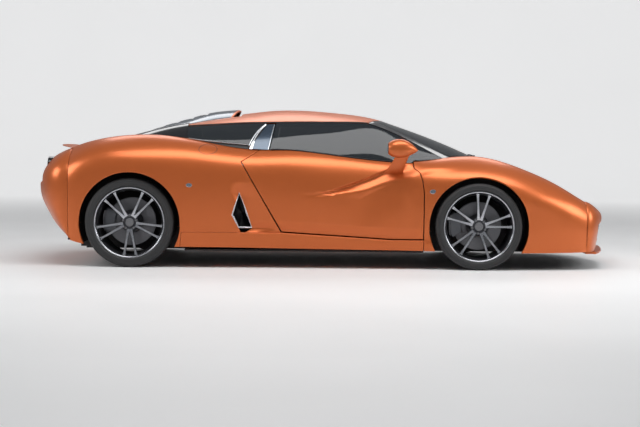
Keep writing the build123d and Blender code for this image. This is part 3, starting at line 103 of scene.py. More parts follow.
def spline_value(knots, x, i, y0, y1, m0, m1):
    """The cubic between knots i and i + 1, straight beyond the ends."""
    inside = np.clip(x, knots[0], knots[-1])
    h = knots[i + 1] - knots[i]
    p, q = (knots[i + 1] - inside) / h, (inside - knots[i]) / h
    beyond = x - inside
    if np.ndim(y0) > np.ndim(x):
        h, p, q, beyond = (np.expand_dims(a, -1) for a in (h, p, q, beyond))
    y = p * y0 + q * y1 + ((p**3 - p) * m0 + (q**3 - q) * m1) * h * h / 6
    slope = (y1 - y0) / h + ((1 - 3 * p * p) * m0 + (3 * q * q - 1) * m1) * h / 6
    return y + slope * beyond


def body_table():
    xs, half, high = [], [], []
    for axle, dx, *pairs, centre in BODY_ROWS:
        xs.append((FRONT_X if axle == "front" else REAR_X) + dx)
        y = [HALF_WIDTH - p[0] for p in pairs] + [0]
        z = [p[1] for p in pairs] + [centre]
        half.append(y + [-a for a in reversed(y[:-1])])
        high.append(z + list(reversed(z[:-1])))
    return Curve(xs, half), Curve(xs, high)


HALF, HIGH = body_table()
SECTION_V = np.array(list(LINE_V) + [2 * CENTRE - a for a in reversed(LINE_V[:-1])])
SECTION_M = Curve.bends(SECTION_V).T


def skin(x, v):
    """Points on the body skin, as an array of (x, y, z)."""
    x, v = np.broadcast_arrays(np.asarray(x, float), np.asarray(v, float))
    i = np.clip(np.searchsorted(SECTION_V, v) - 1, 0, len(SECTION_V) - 2)
    out = [x]
    for table in (HALF, HIGH):
        values = table(x)
        bend = values @ SECTION_M
        knots = [np.expand_dims(k, -1) for k in (i, i + 1)]
        pick = [np.take_along_axis(a, k, -1)[..., 0] for a in (values, bend) for k in knots]
        out.append(spline_value(SECTION_V, v, i, *pick))
    return np.stack(out, -1)


def smooth(a, b, x):
    """0 before a, 1 after b, smooth between; a may be above b."""
    t = np.clip((np.asarray(x, float) - a) / (b - a), 0, 1)
    return t * t * (3 - 2 * t)


def unit(d, least=1e-9):
    """The vectors of d at length 1. Those shorter than least stay short."""
    return d / np.maximum(np.linalg.norm(d, axis=-1, keepdims=True), least)


def normals(surf, u, v, du, dv, core):
    """Unit normals of surf(u, v), on the side away from the point core."""
    a = surf(u + du, v) - surf(u - du, v)
    b = surf(u, v + dv) - surf(u, v - dv)
    n = unit(np.cross(a, b), 1e-12)
    away = np.sum(n * (surf(u, v) - np.asarray(core, float)), -1)
    return n * np.sign(np.median(away))


# ---- making meshes -------------------------------------------------------------------------------
PLANES = {"xz": [0, 2], "xy": [0, 1], "yz": [1, 2]}


def within(polygon, points):
    """Which of the points lie inside the polygon."""
    polygon, points = np.asarray(polygon, float), np.asarray(points, float)
    found = np.zeros(len(points), bool)
    for (x0, y0), (x1, y1) in zip(polygon, np.roll(polygon, -1, 0)):
        crosses = (y0 > points[:, 1]) != (y1 > points[:, 1])
        if y0 != y1:
            found ^= crosses & (points[:, 0] < x0 + (points[:, 1] - y0) * (x1 - x0) / (y1 - y0))
    return found


def dense(points, step, closed=True):
    """The polyline with its runs divided to at most step."""
    out = []
    ends = np.roll(points, -1, 0) if closed else points[1:]
    for a, b in zip(np.asarray(points, float), np.asarray(ends, float)):
        count = max(1, math.ceil(np.linalg.norm(b - a) / step))
        out += [a + (b - a) * k / count for k in range(count)]
    if not closed:
        out.append(np.asarray(points[-1], float))
    return np.array(out)


def invert(surf, dom, plane, points):
    """The (u, v) of surf at given places in a plane, and which of them it doesn't reach."""
    axes = PLANES[plane]
    u, v = (a.ravel() for a in np.meshgrid(np.linspace(dom[0], dom[1], 60), np.linspace(dom[2], dom[3], 40)))
    grid = surf(u, v)[:, axes]
    near = [np.argmin(((grid - p) ** 2).sum(1)) for p in points]
    u, v = u[near], v[near]
    wide, tall = dom[1] - dom[0], dom[3] - dom[2]
    for _ in range(14):
        p = surf(u, v)[:, axes]
        a = (surf(u + wide * 1e-4, v)[:, axes] - p) / (wide * 1e-4)
        b = (surf(u, v + tall * 1e-4)[:, axes] - p) / (tall * 1e-4)
        miss = points - p
        area = a[:, 0] * b[:, 1] - a[:, 1] * b[:, 0]
        area = np.where(np.abs(area) < 1e-9, 1e-9, area)
        u = u + np.clip((miss[:, 0] * b[:, 1] - miss[:, 1] * b[:, 0]) / area, -0.1 * wide, 0.1 * wide)
        v = v + np.clip((a[:, 0] * miss[:, 1] - a[:, 1] * miss[:, 0]) / area, -0.1 * tall, 0.1 * tall)
    lost = np.linalg.norm(points - surf(u, v)[:, axes], axis=1) > 0.5
    lost |= (u < dom[0] - 0.03 * wide) | (u > dom[1] + 0.03 * wide)
    lost |= (v < dom[2] - 0.03 * tall) | (v > dom[3] + 0.03 * tall)
    return np.stack([u, v], 1), lost


def runs(rows, lost):
    """The stretches of a closed polyline that aren't lost."""
    if not lost.any():
        return [np.vstack([rows, rows[:1]])]
    start = int(np.argmax(lost))
    rows, lost = np.roll(rows, -start, 0), np.roll(lost, -start)
    out, now = [], []
    for row, gone in zip(rows, lost):
        if gone:
            out, now = out + [now], []
        else:
            now.append(row)
    return [np.array(r) for r in out + [now] if len(r) > 1]


def around(points, axis):
    """Differences along a row that closes on itself."""
    return np.roll(points, -1, axis) - np.roll(points, 1, axis)


class Mesh:
    """Vertices in millimetres with their normals, and faces with their material numbers."""

    def __init__(self):
        self.v, self.n, self.f, self.m = [], [], [], []

    def add(self, points, normals):
        start = sum(len(a) for a in self.v)
        self.v.append(np.asarray(points, float))
        self.n.append(np.asarray(normals, float))
        return start

    def faces(self, rows, material=0):
        if len(rows):
            self.f.append(np.asarray(rows, int))
            self.m += [material] * len(rows)

    def grid(self, points, normals=None, material=0, wrap_u=False, wrap_v=False):
        """Faces over a grid of points of shape (nu, nv, 3)."""
        nu, nv = points.shape[:2]
        if normals is None:
            du = around(points, 0) if wrap_u else np.gradient(points, axis=0)
            dv = around(points, 1) if wrap_v else np.gradient(points, axis=1)
            normals = unit(np.cross(du, dv))
        start = self.add(points.reshape(-1, 3), normals.reshape(-1, 3))
        i, j = np.meshgrid(range(nu if wrap_u else nu - 1), range(nv if wrap_v else nv - 1), indexing="ij")
        i, j = i.ravel(), j.ravel()
        at = lambda a, b: start + (a % nu) * nv + (b % nv)
        self.faces(np.stack([at(i, j), at(i + 1, j), at(i + 1, j + 1), at(i, j + 1)], 1), material)

    def join(self, other):
        start = sum(len(a) for a in self.v)
        self.v += other.v
        self.n += other.n
        self.f += [rows + start for rows in other.f]
        self.m += other.m

    def make(self, name, materials, mirror=False):
        v, n = np.vstack(self.v) * MM, np.vstack(self.n)
        if mirror:
            v, n = v * (1, -1, 1), n * (1, -1, 1)
        faces = []
        for rows in self.f:  # each face looks the way its corners' normals do
            facing = np.cross(v[rows[:, 1]] - v[rows[:, 0]], v[rows[:, -1]] - v[rows[:, 0]])
            facing += np.cross(v[rows[:, -2]] - v[rows[:, 1]], v[rows[:, -1]] - v[rows[:, -2]])
            wrong = (facing * n[rows].sum(1)).sum(1) < 0
            rows = np.where(wrong[:, None], rows[:, ::-1], rows)
            faces += rows.tolist()
        mesh = bpy.data.meshes.new(name)
        mesh.from_pydata(v, [], faces)
        mesh.polygons.foreach_set("material_index", self.m)
        mesh.polygons.foreach_set("use_smooth", [True] * len(faces))
        for material in materials:
            mesh.materials.append(material)
        mesh.update()
        mesh.normals_split_custom_set_from_vertices(n)
        obj = bpy.data.objects.new(name, mesh)
        bpy.context.scene.collection.objects.link(obj)
        return obj


def panel_mesh(surf, dom, cuts, core, step, edge, deep, inner=None):
    """A thick panel of surf(u, v) over dom, cut by outlines (plane, points, keep the inside).

    It faces away from the point core. step is the size of its faces, edge the width of its rounded edge
    and deep its thickness. Where inner is given, it moves the points of the face to the back instead.
    """
    mid_u, mid_v = (dom[0] + dom[1]) / 2, (dom[2] + dom[3]) / 2
    eu, ev = (dom[1] - dom[0]) * 1e-3, (dom[3] - dom[2]) * 1e-3
    line_u, line_v = np.linspace(dom[0], dom[1], 30), np.linspace(dom[2], dom[3], 30)
    size_u = np.linalg.norm(np.diff(surf(line_u, 0 * line_u + mid_v), axis=0), axis=1).sum()
    size_v = np.linalg.norm(np.diff(surf(0 * line_v + mid_u, line_v), axis=0), axis=1).sum()
    scale = np.array([size_u / (dom[1] - dom[0]), size_v / (dom[3] - dom[2])])

    border = [(dom[0], dom[2]), (dom[1], dom[2]), (dom[1], dom[3]), (dom[0], dom[3])]
    loop = dense(np.array(border) * scale, step)
    lines = [np.vstack([loop, loop[:1]])]
    for plane, points, _ in cuts:
        spots, lost = invert(surf, dom, plane, dense(points, 0.8 * step))
        lines += [run * scale for run in runs(spots, lost)]
    curve = np.vstack(lines)
    nu, nv = (max(2, round(s / step)) for s in (size_u, size_v))
    gu, gv = np.meshgrid(np.linspace(dom[0], dom[1], nu + 1), np.linspace(dom[2], dom[3], nv + 1))
    spots = np.stack([gu.ravel(), gv.ravel()], 1) * scale
    far = np.array([((curve - p) ** 2).sum(1).min() > (0.6 * step) ** 2 for p in spots])
    points = np.vstack([curve, spots[far]])
    edges, at = [], 0
    for line in lines:
        edges += [(at + k, at + k + 1) for k in range(len(line) - 1)]
        at += len(line)
    flat, _, triangles = delaunay_2d_cdt([Vector(p) for p in points], edges, [], 0, 0.02)[:3]
    flat = np.array([tuple(p) for p in flat]) / scale
    triangles = np.array([t for t in triangles if len(t) == 3])
    middle = flat[triangles].mean(1)
    keep = ((middle > (dom[0], dom[2])) & (middle < (dom[1], dom[3]))).all(1)
    place = surf(middle[:, 0], middle[:, 1])
    for plane, points, keep_inside in cuts:
        keep &= within(points, place[:, PLANES[plane]]) == keep_inside
    triangles = triangles[keep]
    a, b, c = (flat[triangles[:, k]] * scale for k in range(3))
    turn = (b - a)[:, 0] * (c - a)[:, 1] - (b - a)[:, 1] * (c - a)[:, 0]
    triangles = triangles[np.abs(turn) > 1e-3]
    turn = turn[np.abs(turn) > 1e-3]
    triangles[turn < 0] = triangles[turn < 0][:, ::-1]

    used = dict.fromkeys((t[k], t[(k + 1) % 3]) for t in triangles for k in range(3))
    rim = {i: j for i, j in used if (j, i) not in used}
    before = {j: i for i, j in rim.items()}
    rim = {i: j for i, j in rim.items() if i in before}
    index = np.array(sorted(set(triangles.ravel())))
    slot = {i: k for k, i in enumerate(index)}
    uv = flat[index].copy()
    n_of = lambda p: normals(surf, p[:, 0], p[:, 1], eu, ev, core)

    ring = np.array(list(rim))
    here, past, ahead = flat[ring], flat[[before[i] for i in ring]], flat[[rim[i] for i in ring]]
    hu, hv = here.T
    along_u = np.linalg.norm(surf(hu + eu, hv) - surf(hu - eu, hv), axis=1) / (2 * eu)
    along_v = np.linalg.norm(surf(hu, hv + ev) - surf(hu, hv - ev), axis=1) / (2 * ev)
    metric = np.stack([along_u, along_v], 1)
    d1, d2 = unit((here - past) * metric), unit((ahead - here) * metric)
    left = lambda d: np.stack([-d[:, 1], d[:, 0]], 1)
    mitre = unit(left(d1) + left(d2))
    mitre /= np.clip((mitre * left(d2)).sum(1, keepdims=True), 0.4, 1)
    moved = lambda share: here + mitre * edge * share / metric
    uv[[slot[i] for i in ring]] = moved(1.0)

    mesh = Mesh()
    mesh.add(surf(uv[:, 0], uv[:, 1]), n_of(uv))
    mesh.faces([[slot[i] for i in t] for t in triangles])
    out = unit(surf(here[:, 0], here[:, 1]) - surf(moved(1.0)[:, 0], moved(1.0)[:, 1]))
    last = {i: slot[i] for i in ring}
    for share, depth, blend in ((0.3, 0.3 * edge, 1.0), (0.0, edge, 0.0), (0.0, deep, 0.0)):
        p = moved(share)
        n = n_of(p)
        spot = surf(p[:, 0], p[:, 1]) - n * depth
        if depth == deep and inner is not None:
            spot = inner(surf(p[:, 0], p[:, 1]))
        start = mesh.add(spot, unit(out + n * blend))
        now = {i: start + k for k, i in enumerate(ring)}
        mesh.faces([(last[i], now[i], now[rim[i]], last[rim[i]]) for i in ring if rim[i] in now])
        last = now
    uv[[slot[i] for i in ring]] = here
    under = surf(uv[:, 0], uv[:, 1])
    n = n_of(uv)
    under = under - n * deep if inner is None else inner(under)
    start = mesh.add(under, -n)
    mesh.faces([[start + slot[i] for i in t] for t in triangles], 1)
    return mesh


def turns(count):
    """Angles evenly round a full turn."""
    return np.linspace(0, 2 * math.pi, count, endpoint=False)


def arc(x, z, r, count=72):
    return [(x + r * math.cos(a), z + r * math.sin(a)) for a in turns(count)]


def dress(obj, body, slot, *stands_for):
    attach(obj, body)
    if stands_for:
        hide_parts(*stands_for)
    return obj


def sides(name, mesh, materials, slot, body="body", stands_for=(), both=None):
    """The same mesh on both sides; {s} in a name is left or right. both is a node that holds the two."""
    for s in ("left", "right"):
        obj = mesh.make(name.format(s=s), materials, mirror=s == "right")
        stood = [n.format(s=s) for n in stands_for]
        if both and s == "left":
            stood.append(both)
        dress(obj, body.format(s=s), slot, *stood)


# ---- materials -----------------------------------------------------------------------------------
def shader(name, color, roughness=0.5, metallic=0.0, **more):
    """A node material. color is linear RGB; more names other sockets of the shader."""
    material = bpy.data.materials.new(name)
    material.use_nodes = True
    bsdf = material.node_tree.nodes["Principled BSDF"]
    bsdf.inputs["Base Color"].default_value = (*color, 1)
    bsdf.inputs["Roughness"].default_value = roughness
    bsdf.inputs["Metallic"].default_value = metallic
    for socket, value in more.items():
        bsdf.inputs[socket.replace("_", " ")].default_value = value
    return material


def texture(material, kind, **values):
    """A texture node in the object's own coordinates."""
    tree = material.node_tree
    node = tree.nodes.new(kind)
    for socket, value in values.items():
        node.inputs[socket].default_value = value
    place = tree.nodes.new("ShaderNodeTexCoord")
    tree.links.new(place.outputs["Object"], node.inputs["Vector"])
    return node


def noise(material, scale, detail=4):
    return texture(material, "ShaderNodeTexNoise", Scale=scale, Detail=detail).outputs["Fac"]


def vary(material, factor, socket, low, high, span=(0.3, 0.7)):
    """Drives a socket between two values or colours by a factor."""
    tree = material.node_tree
    if isinstance(low, tuple):
        ramp = tree.nodes.new("ShaderNodeValToRGB")
        for element, position, color in zip(ramp.color_ramp.elements, span, (low, high)):
            element.position = position
            element.color = (*color, 1)
        tree.links.new(factor, ramp.inputs["Fac"])
        out = ramp.outputs["Color"]
    else:
        ramp = tree.nodes.new("ShaderNodeMapRange")
        for key, value in zip(("From Min", "From Max", "To Min", "To Max"), (*span, low, high)):
            ramp.inputs[key].default_value = value
        tree.links.new(factor, ramp.inputs["Value"])
        out = ramp.outputs["Result"]
    tree.links.new(out, tree.nodes["Principled BSDF"].inputs[socket])


def bump(material, factor, strength, distance):
    tree = material.node_tree
    node = tree.nodes.new("ShaderNodeBump")
    node.inputs["Strength"].default_value = strength
    node.inputs["Distance"].default_value = distance
    tree.links.new(factor, node.inputs["Height"])
    tree.links.new(node.outputs["Normal"], tree.nodes["Principled BSDF"].inputs["Normal"])


def make_materials():
    m = {}
    coat = {"Coat_Weight": 0.15, "Coat_Roughness": 0.22}
    paint = m["paint"] = shader("paint", (0.56, 0.135, 0.035), 0.3, 0.55, **coat)
    flake = noise(paint, 2600, 2)
    vary(paint, flake, "Base Color", (0.50, 0.100, 0.020), (0.66, 0.160, 0.038), (0.35, 0.65))
    vary(paint, noise(paint, 700, 3), "Roughness", 0.28, 0.36)
    bump(paint, flake, 0.05, 0.0002)
    black = m["black"] = shader("black_plastic", (0.018, 0.018, 0.020), 0.55)
    grain = noise(black, 900, 6)
    vary(black, grain, "Roughness", 0.45, 0.65)
    bump(black, grain, 0.25, 0.0006)
    coat = {"Coat_Weight": 0.3, "Coat_Roughness": 0.05}
    gloss = m["gloss"] = shader("gloss_black", (0.010, 0.010, 0.012), 0.12, **coat)
    vary(gloss, noise(gloss, 60, 4), "Roughness", 0.08, 0.18)
    coat = {"Coat_Weight": 0.6, "Coat_Roughness": 0.08}
    slate = m["slate"] = shader("slate_gloss", (0.035, 0.055, 0.085), 0.2, 0.5, **coat)
    vary(slate, noise(slate, 900, 2), "Base Color", (0.028, 0.046, 0.072), (0.05, 0.075, 0.11))
    dark = m["dark_metal"] = shader("dark_metal", (0.055, 0.056, 0.062), 0.33, 0.85)
    vary(dark, noise(dark, 500, 3), "Roughness", 0.26, 0.42)
    bright = m["machined"] = shader("machined_metal", (0.48, 0.49, 0.52), 0.2, 1.0)
    vary(bright, noise(bright, 900, 3), "Roughness", 0.14, 0.3)
    trim = m["trim"] = shader("satin_trim", (0.66, 0.67, 0.70), 0.28, 1.0)
    vary(trim, noise(trim, 400, 3), "Roughness", 0.22, 0.36)
    cast = m["cast"] = shader("cast_metal", (0.20, 0.20, 0.21), 0.55, 0.8)
    rough = noise(cast, 380, 8)
    vary(cast, rough, "Base Color", (0.13, 0.13, 0.14), (0.27, 0.27, 0.28))
    bump(cast, rough, 0.5, 0.0012)
    disc = m["disc"] = shader("brake_disc", (0.17, 0.17, 0.18), 0.35, 1.0)
    vary(disc, noise(disc, 300, 4), "Roughness", 0.25, 0.5)
    rubber = m["rubber"] = shader("tyre_rubber", (0.022, 0.022, 0.023), 0.72)
    wear = noise(rubber, 140, 6)
    vary(rubber, wear, "Base Color", (0.016, 0.016, 0.017), (0.034, 0.034, 0.035))
    vary(rubber, wear, "Roughness", 0.62, 0.85)
    bump(rubber, noise(rubber, 1400, 4), 0.25, 0.0005)
    leather = m["leather"] = shader("leather", (0.030, 0.029, 0.030), 0.55, Sheen_Weight=0.1)
    cells = texture(leather, "ShaderNodeTexVoronoi", Scale=420).outputs["Distance"]
    vary(leather, noise(leather, 30, 5), "Base Color", (0.024, 0.023, 0.024), (0.042, 0.040, 0.041))
    vary(leather, cells, "Roughness", 0.45, 0.65, (0.0, 0.6))
    bump(leather, cells, 0.35, 0.0006)
    suede = m["suede"] = shader("orange_leather", (0.50, 0.13, 0.04), 0.6, Sheen_Weight=0.2)
    vary(suede, noise(suede, 240, 5), "Base Color", (0.43, 0.10, 0.03), (0.58, 0.17, 0.055))
    bump(suede, noise(suede, 800, 3), 0.2, 0.0005)
    glass = m["glass"] = shader("tinted_glass", (0.020, 0.024, 0.028), 0.03, Transmission_Weight=0.0, IOR=1.5)
    glass.node_tree.nodes["Principled BSDF"].inputs["Alpha"].default_value = 0.78
    vary(glass, noise(glass, 6, 3), "Roughness", 0.015, 0.05)
    lens = m["lens"] = shader("clear_lens", (0.55, 0.57, 0.60), 0.04, IOR=1.5)
    lens.node_tree.nodes["Principled BSDF"].inputs["Alpha"].default_value = 0.22
    vary(lens, noise(lens, 8, 3), "Roughness", 0.02, 0.05)
    red = m["red"] = shader("red_lens", (0.42, 0.012, 0.010), 0.12, Coat_Weight=0.5, Coat_Roughness=0.05)
    vary(red, noise(red, 300, 2), "Base Color", (0.30, 0.008, 0.007), (0.50, 0.02, 0.015))
    lamp = m["reflector"] = shader("lamp_reflector", (0.80, 0.81, 0.84), 0.12, 1.0)
    vary(lamp, noise(lamp, 80, 3), "Roughness", 0.08, 0.2)
    mirror = m["mirror"] = shader("mirror_glass", (0.75, 0.78, 0.80), 0.02, 1.0)
    vary(mirror, noise(mirror, 6, 2), "Roughness", 0.01, 0.04)
    under = m["under"] = shader("dark_underside", (0.03, 0.028, 0.027), 0.7)
    vary(under, noise(under, 90, 5), "Base Color", (0.022, 0.021, 0.021), (0.045, 0.043, 0.042))
    carpet = m["carpet"] = shader("carpet", (0.018, 0.018, 0.019), 0.95)
    pile = noise(carpet, 1500, 3)
    vary(carpet, pile, "Base Color", (0.010, 0.010, 0.011), (0.032, 0.032, 0.034))
    bump(carpet, pile, 0.6, 0.002)
    caliper = m["caliper"] = shader("caliper_paint", (0.16, 0.165, 0.18), 0.35, 0.6)
    vary(caliper, noise(caliper, 200, 3), "Roughness", 0.28, 0.45)
    bulb = m["bulb"] = shader("projector_glass", (0.10, 0.12, 0.15), 0.03, IOR=1.5, Coat_Weight=1.0)
    vary(bulb, noise(bulb, 20, 2), "Roughness", 0.02, 0.05)
    light = m["white_lens"] = shader("white_light_guide", (0.80, 0.82, 0.85), 0.3, Coat_Weight=0.5)
    vary(light, noise(light, 200, 2), "Roughness", 0.22, 0.4)
    return m


M = make_materials()
# CAD nodes that stay take these materials.
NODE_LOOKS = (
    ("chassis cabin_tub roof_frame", "under"),
    ("wheel_liners cowl", "black"),
    ("suspension_arms exhausts", "cast"),
    ("front_knuckle_left front_knuckle_right rear_carrier_left rear_carrier_right engine", "cast"),
    ("luggage_box", "carpet"),
    ("dashboard steering_wheel seats", "leather"),
    ("sail_panels windscreen_pillars rear_grille front_grilles", "black"),
    ("windscreen quarter_glass door_glass_left door_glass_right", "glass"),
    ("pillar_panels engine_cover", "slate"),
    ("headlamps", "lens"),
    ("tail_lamps", "red"),
    ("front_tyre_left front_tyre_right rear_tyre_left rear_tyre_right", "rubber"),
    ("front_rim_left front_rim_right rear_rim_left rear_rim_right", "dark_metal"),
)
for obj in nodes.values():
    for cell in obj.material_slots:
        cell.material = M["paint"]
for names, look in NODE_LOOKS:
    for name in names.split():
        for cell in nodes[name].material_slots:
            cell.material = M[look]


# ---- body panels ---------------------------------------------------------------------------------
DOOR_FRONT = FRONT_X - 404
DOOR_REAR, DOOR_KINK, DOOR_KINK_Z, DOOR_TOP = REAR_X + 1112, REAR_X + 814, 779, REAR_X + 961
DOOR_INNER_Y = 735
SILL_FRONT_Z, SILL_REAR_Z, SILL_FLAT_X, SILL_GAP = 214, 262, FRONT_X - 640, 10
FENDER_END, QUARTER_END = FRONT_X + 810, REAR_X - 455
HOOD_X = [FRONT_X + dx for dx in (-560, -335, -170, 200, 600, 860)]
HOOD_EDGE = Curve(HOOD_X, [775, 722, 650, 592, 480, 400])


def nose_edge(y, gap=0.0):
    share = min(abs(y) / 600, 1.0)
    return FENDER_END + 102 * math.sqrt(1 - share**2) + gap


def hood_rear(y):
    return FRONT_X + 125 - 290 * (y / 650) ** 2


def sill_top(x):
    share = min(max((x - SILL_FLAT_X) / (DOOR_REAR - SILL_FLAT_X), 0.0), 1.0)
    return SILL_FRONT_Z + (SILL_REAR_Z - SILL_FRONT_Z) * share


def door_outline(gap):
    front, rear, kink, top = DOOR_FRONT + gap, DOOR_REAR - gap, DOOR_KINK - gap, DOOR_TOP - gap
    return [
        (rear, sill_top(rear) + SILL_GAP),
        (kink, DOOR_KINK_Z),
        (top, 878),
        (top, 1000),
        (front - 104, 1000),
        (front - 74, 743),
        (front - 32, 711),
        (front - 12, 651),
        (front, 560),
        (front, SILL_FRONT_Z + SILL_GAP),
        (SILL_FLAT_X, SILL_FRONT_Z + SILL_GAP),
    ]


def below_line(points, x, z):
    """How far x, z lies below a line of (x, z) points."""
    return np.interp(x, *zip(*points)) - z


CHANNEL = ((-170, 548), (40, 572), (285, 662), (420, 716), (560, 762), (720, 800))
WAIST_LINE = ((-320, 560), (100, 560), (260, 560), (420, 640), (620, 712), (780, 748), (1135, 800))
CHANNEL_DEPTH, CREASE_DEPTH, DENT_DEPTH, SILL_LEAN = 30, 10, 26, 13
INTAKE = [(REAR_X + dx, z) for dx, z in ((802, 556), (748, 392), (824, 250), (898, 292), (850, 440))]


def relief(x, z):
    """How far the side is pressed in at x, z."""
    below = below_line(CHANNEL, x, z)
    depth = CHANNEL_DEPTH * smooth(-170, 230, x) * smooth(760, 560, x)
    width = 26 + 74 * smooth(0, 420, x)
    channel = depth * smooth(-2, 15, below) * (1 - smooth(0.15, 1.0, (below - 12) / width))
    under = below_line(WAIST_LINE, x, z)
    crease = CREASE_DEPTH * smooth(80, 420, x) * smooth(1060, 800, x)
    crease = crease * smooth(-6, 50, under) * smooth(330, 70, under)
    crease = crease * (1 - np.exp(-(((x - 630) / 75) ** 2)))
    foot = sill_foot(x, z)
    front = np.interp(z, (232, 292, 440, 556), (-640, -527, -575, -623))
    ahead = x - front
    tall = smooth(225, 300, z) * smooth(640, 520, z)
    dent = DENT_DEPTH * tall * smooth(190, 0, ahead) * smooth(-70, -5, ahead)
    return channel + crease + foot + dent


def sill_foot(x, z):
    """The door's foot leans in over the sill."""
    top = np.interp(x, (DOOR_REAR, SILL_FLAT_X), (SILL_REAR_Z, SILL_FRONT_Z)) + SILL_GAP
    here = smooth(-600, -420, x) * smooth(800, 740, x)
    return SILL_LEAN * here * smooth(85, 5, z - top) * smooth(-40, -5, z - top)


def side(x, v):
    p = skin(x, v)
    p[..., 1] -= relief(p[..., 0], p[..., 2]) * smooth(CREST + 0.1, SHOULDER, v)
    return p


def flat_inner(y):
    return lambda p: np.stack([p[:, 0], 0 * p[:, 0] + y, p[:, 2]], 1)


PAINT = [M["paint"], M["under"]]
CORE = (0, 0, 450)
PANEL_T, DOOR_T = 16, 30


def make_side():
    g = SHUT / 2
    door = panel_mesh(
        side,
        (DOOR_KINK - 8, DOOR_FRONT + 8, 0.2, CREST),
        [("xz", door_outline(-g), True)],
        CORE,
        step=11,
        edge=1.8,
        deep=DOOR_T,
        inner=flat_inner(DOOR_INNER_Y + 2),
    )
    sides("door_{s}_skin", door, PAINT, "paint", "door_{s}", ["door_{s}"])

    rear = DOOR_FRONT + g
    hood_side = [(x, float(HOOD_EDGE(x)) + g) for x in np.linspace(rear - 150, FENDER_END + 40, 16)]
    tip_y = float(HOOD_EDGE(FENDER_END + 60)) + g
    hood_side.append((nose_edge(tip_y - g, -TRIM), tip_y))
    turn = [(nose_edge(y, -TRIM), y) for y in np.linspace(tip_y + 12, 600, 8)]
    plan = hood_side + turn + [(FENDER_END - TRIM, 1400), (rear - 150, 1400)]
    door_side = [
        (rear - 90, 1000),
        (rear - 78, 790),
        (rear - 74, 743),
        (rear - 32, 711),
        (rear - 12, 651),
        (rear, 560),
        (rear, 60),
        (3000, 60),
        (3000, 1000),
    ]
    cuts = [
        ("xz", door_side, True),
        ("xy", plan, True),
        ("xz", arc(FRONT_X, FRONT_R - 2, FRONT_ARCH), False),
        ("xy", HEADLAMP, False),
    ]
    fender = panel_mesh(side, (rear - 110, FRONT_X + 895, BOTTOM, 5.4), cuts, CORE, 11, 1.8, PANEL_T)
    sides("fender_{s}_skin", fender, PAINT, "paint", "body", ["fender_{s}"])

    top = DOOR_TOP - g
    outline = [
        (QUARTER_END, 60),
        (QUARTER_END, 1100),
        (top, 1100),
        (top, 878),
        (DOOR_KINK - g, DOOR_KINK_Z),
        (DOOR_REAR - g, SILL_REAR_Z + TRIM),
        (REAR_X + 380, SILL_REAR_Z + TRIM),
        (REAR_X + 360, 60),
    ]
    cuts = [
        ("xz", outline, True),
        ("xz", arc(REAR_X, REAR_R - 2, REAR_ARCH), False),
        ("xz", INTAKE, False),
    ]
    quarter = panel_mesh(side, (REAR_X - 640, DOOR_REAR + 4, BOTTOM, 4.05), cuts, CORE, 11, 1.8, PANEL_T)
    sides("quarter_{s}_skin", quarter, PAINT, "paint", "body", ["quarter_{s}"])

    foot, edge = REAR_X + 360 + TRIM, REAR_X + 380 + TRIM
    outline = [
        (foot, 60),
        (edge, SILL_REAR_Z),
        (DOOR_REAR, SILL_REAR_Z),
        (SILL_FLAT_X, SILL_FRONT_Z),
        (DOOR_FRONT, SILL_FRONT_Z),
        (DOOR_FRONT, 60),
    ]
    dom = (REAR_X + 344, DOOR_FRONT + 6, BOTTOM, 1.1)
    sill = panel_mesh(skin, dom, [("xz", outline, True)], CORE, 14, 6, 30, flat_inner(722))
    sides("sill_{s}_skin", sill, PAINT, "paint", both="sills")


HEADLAMP = ((1690, 562), (1740, 622), (1876, 634), (1926, 598), (1934, 520), (1880, 466), (1790, 496))


def make_hood():
    g = SHUT / 2
    sides_x = np.linspace(1000, FENDER_END + 60, 16)
    edge = [(x, float(HOOD_EDGE(x)) - g) for x in sides_x]
    front = [(nose_edge(y, -SHUT), y) for y in np.linspace(edge[-1][1] - 8, -edge[-1][1] + 8, 21)]
    rear = [(hood_rear(y), y) for y in np.linspace(-608, 608, 25)]
    outline = edge + front + [(x, -y) for x, y in reversed(edge)] + rear
    hood = panel_mesh(hood_top, (960, 2052, 3.3, 10.7), [("xy", outline, True)], CORE, 13, 2.0, PANEL_T)
    dress(hood.make("hood_skin", PAINT), "hood", "paint", "hood")


def hood_top(x, v):
    """The hood has a shallow trough each side of its raised middle, ending ahead of the windscreen."""
    p = skin(x, v)
    y = np.abs(p[..., 1])
    width = np.interp(p[..., 0], (1100, 1950), (330, 150))
    share = y / width
    trough = 9 * smooth(0.55, 1.0, share) * smooth(1.7, 1.15, share)
    p[..., 2] -= trough * smooth(2040, 1900, p[..., 0]) * smooth(1010, 1180, p[..., 0])
    return p


def rounded(angle, fullness):
    c, s = np.cos(angle), np.sin(angle)
    r = (np.abs(c) ** fullness + np.abs(s) ** fullness) ** (-1 / fullness)
    return c * r, s * r


NOSE_PROFILE = ((88, 136), (74, 190), (50, 270), (34, 340), (32, 392), (66, 418), (133, 426))
TAIL_PROFILE = ((330, 165), (180, 262), (90, 360), (22, 470), (0, 560), (14, 680), (110, 800), (250, 868))


def end_cap(end_x, v_top, profile, tip_x, sign, fullness):
    n = len(profile)
    centre = Curve(range(n), [(tip_x - sign * a, z) for a, z in profile])

    def point(s, t):
        s, t = np.broadcast_arrays(np.asarray(s, float), np.asarray(t, float))
        along_x, across = rounded((2 * s - 1) * math.pi / 2, fullness)
        p = skin(0 * s + end_x, v_top * t)
        c = centre((n - 1) * t)
        x = end_x + (c[..., 0] - end_x) * along_x
        return np.stack([x, p[..., 1] * across, p[..., 2] + (c[..., 1] - p[..., 2]) * along_x**2], -1)

    return point


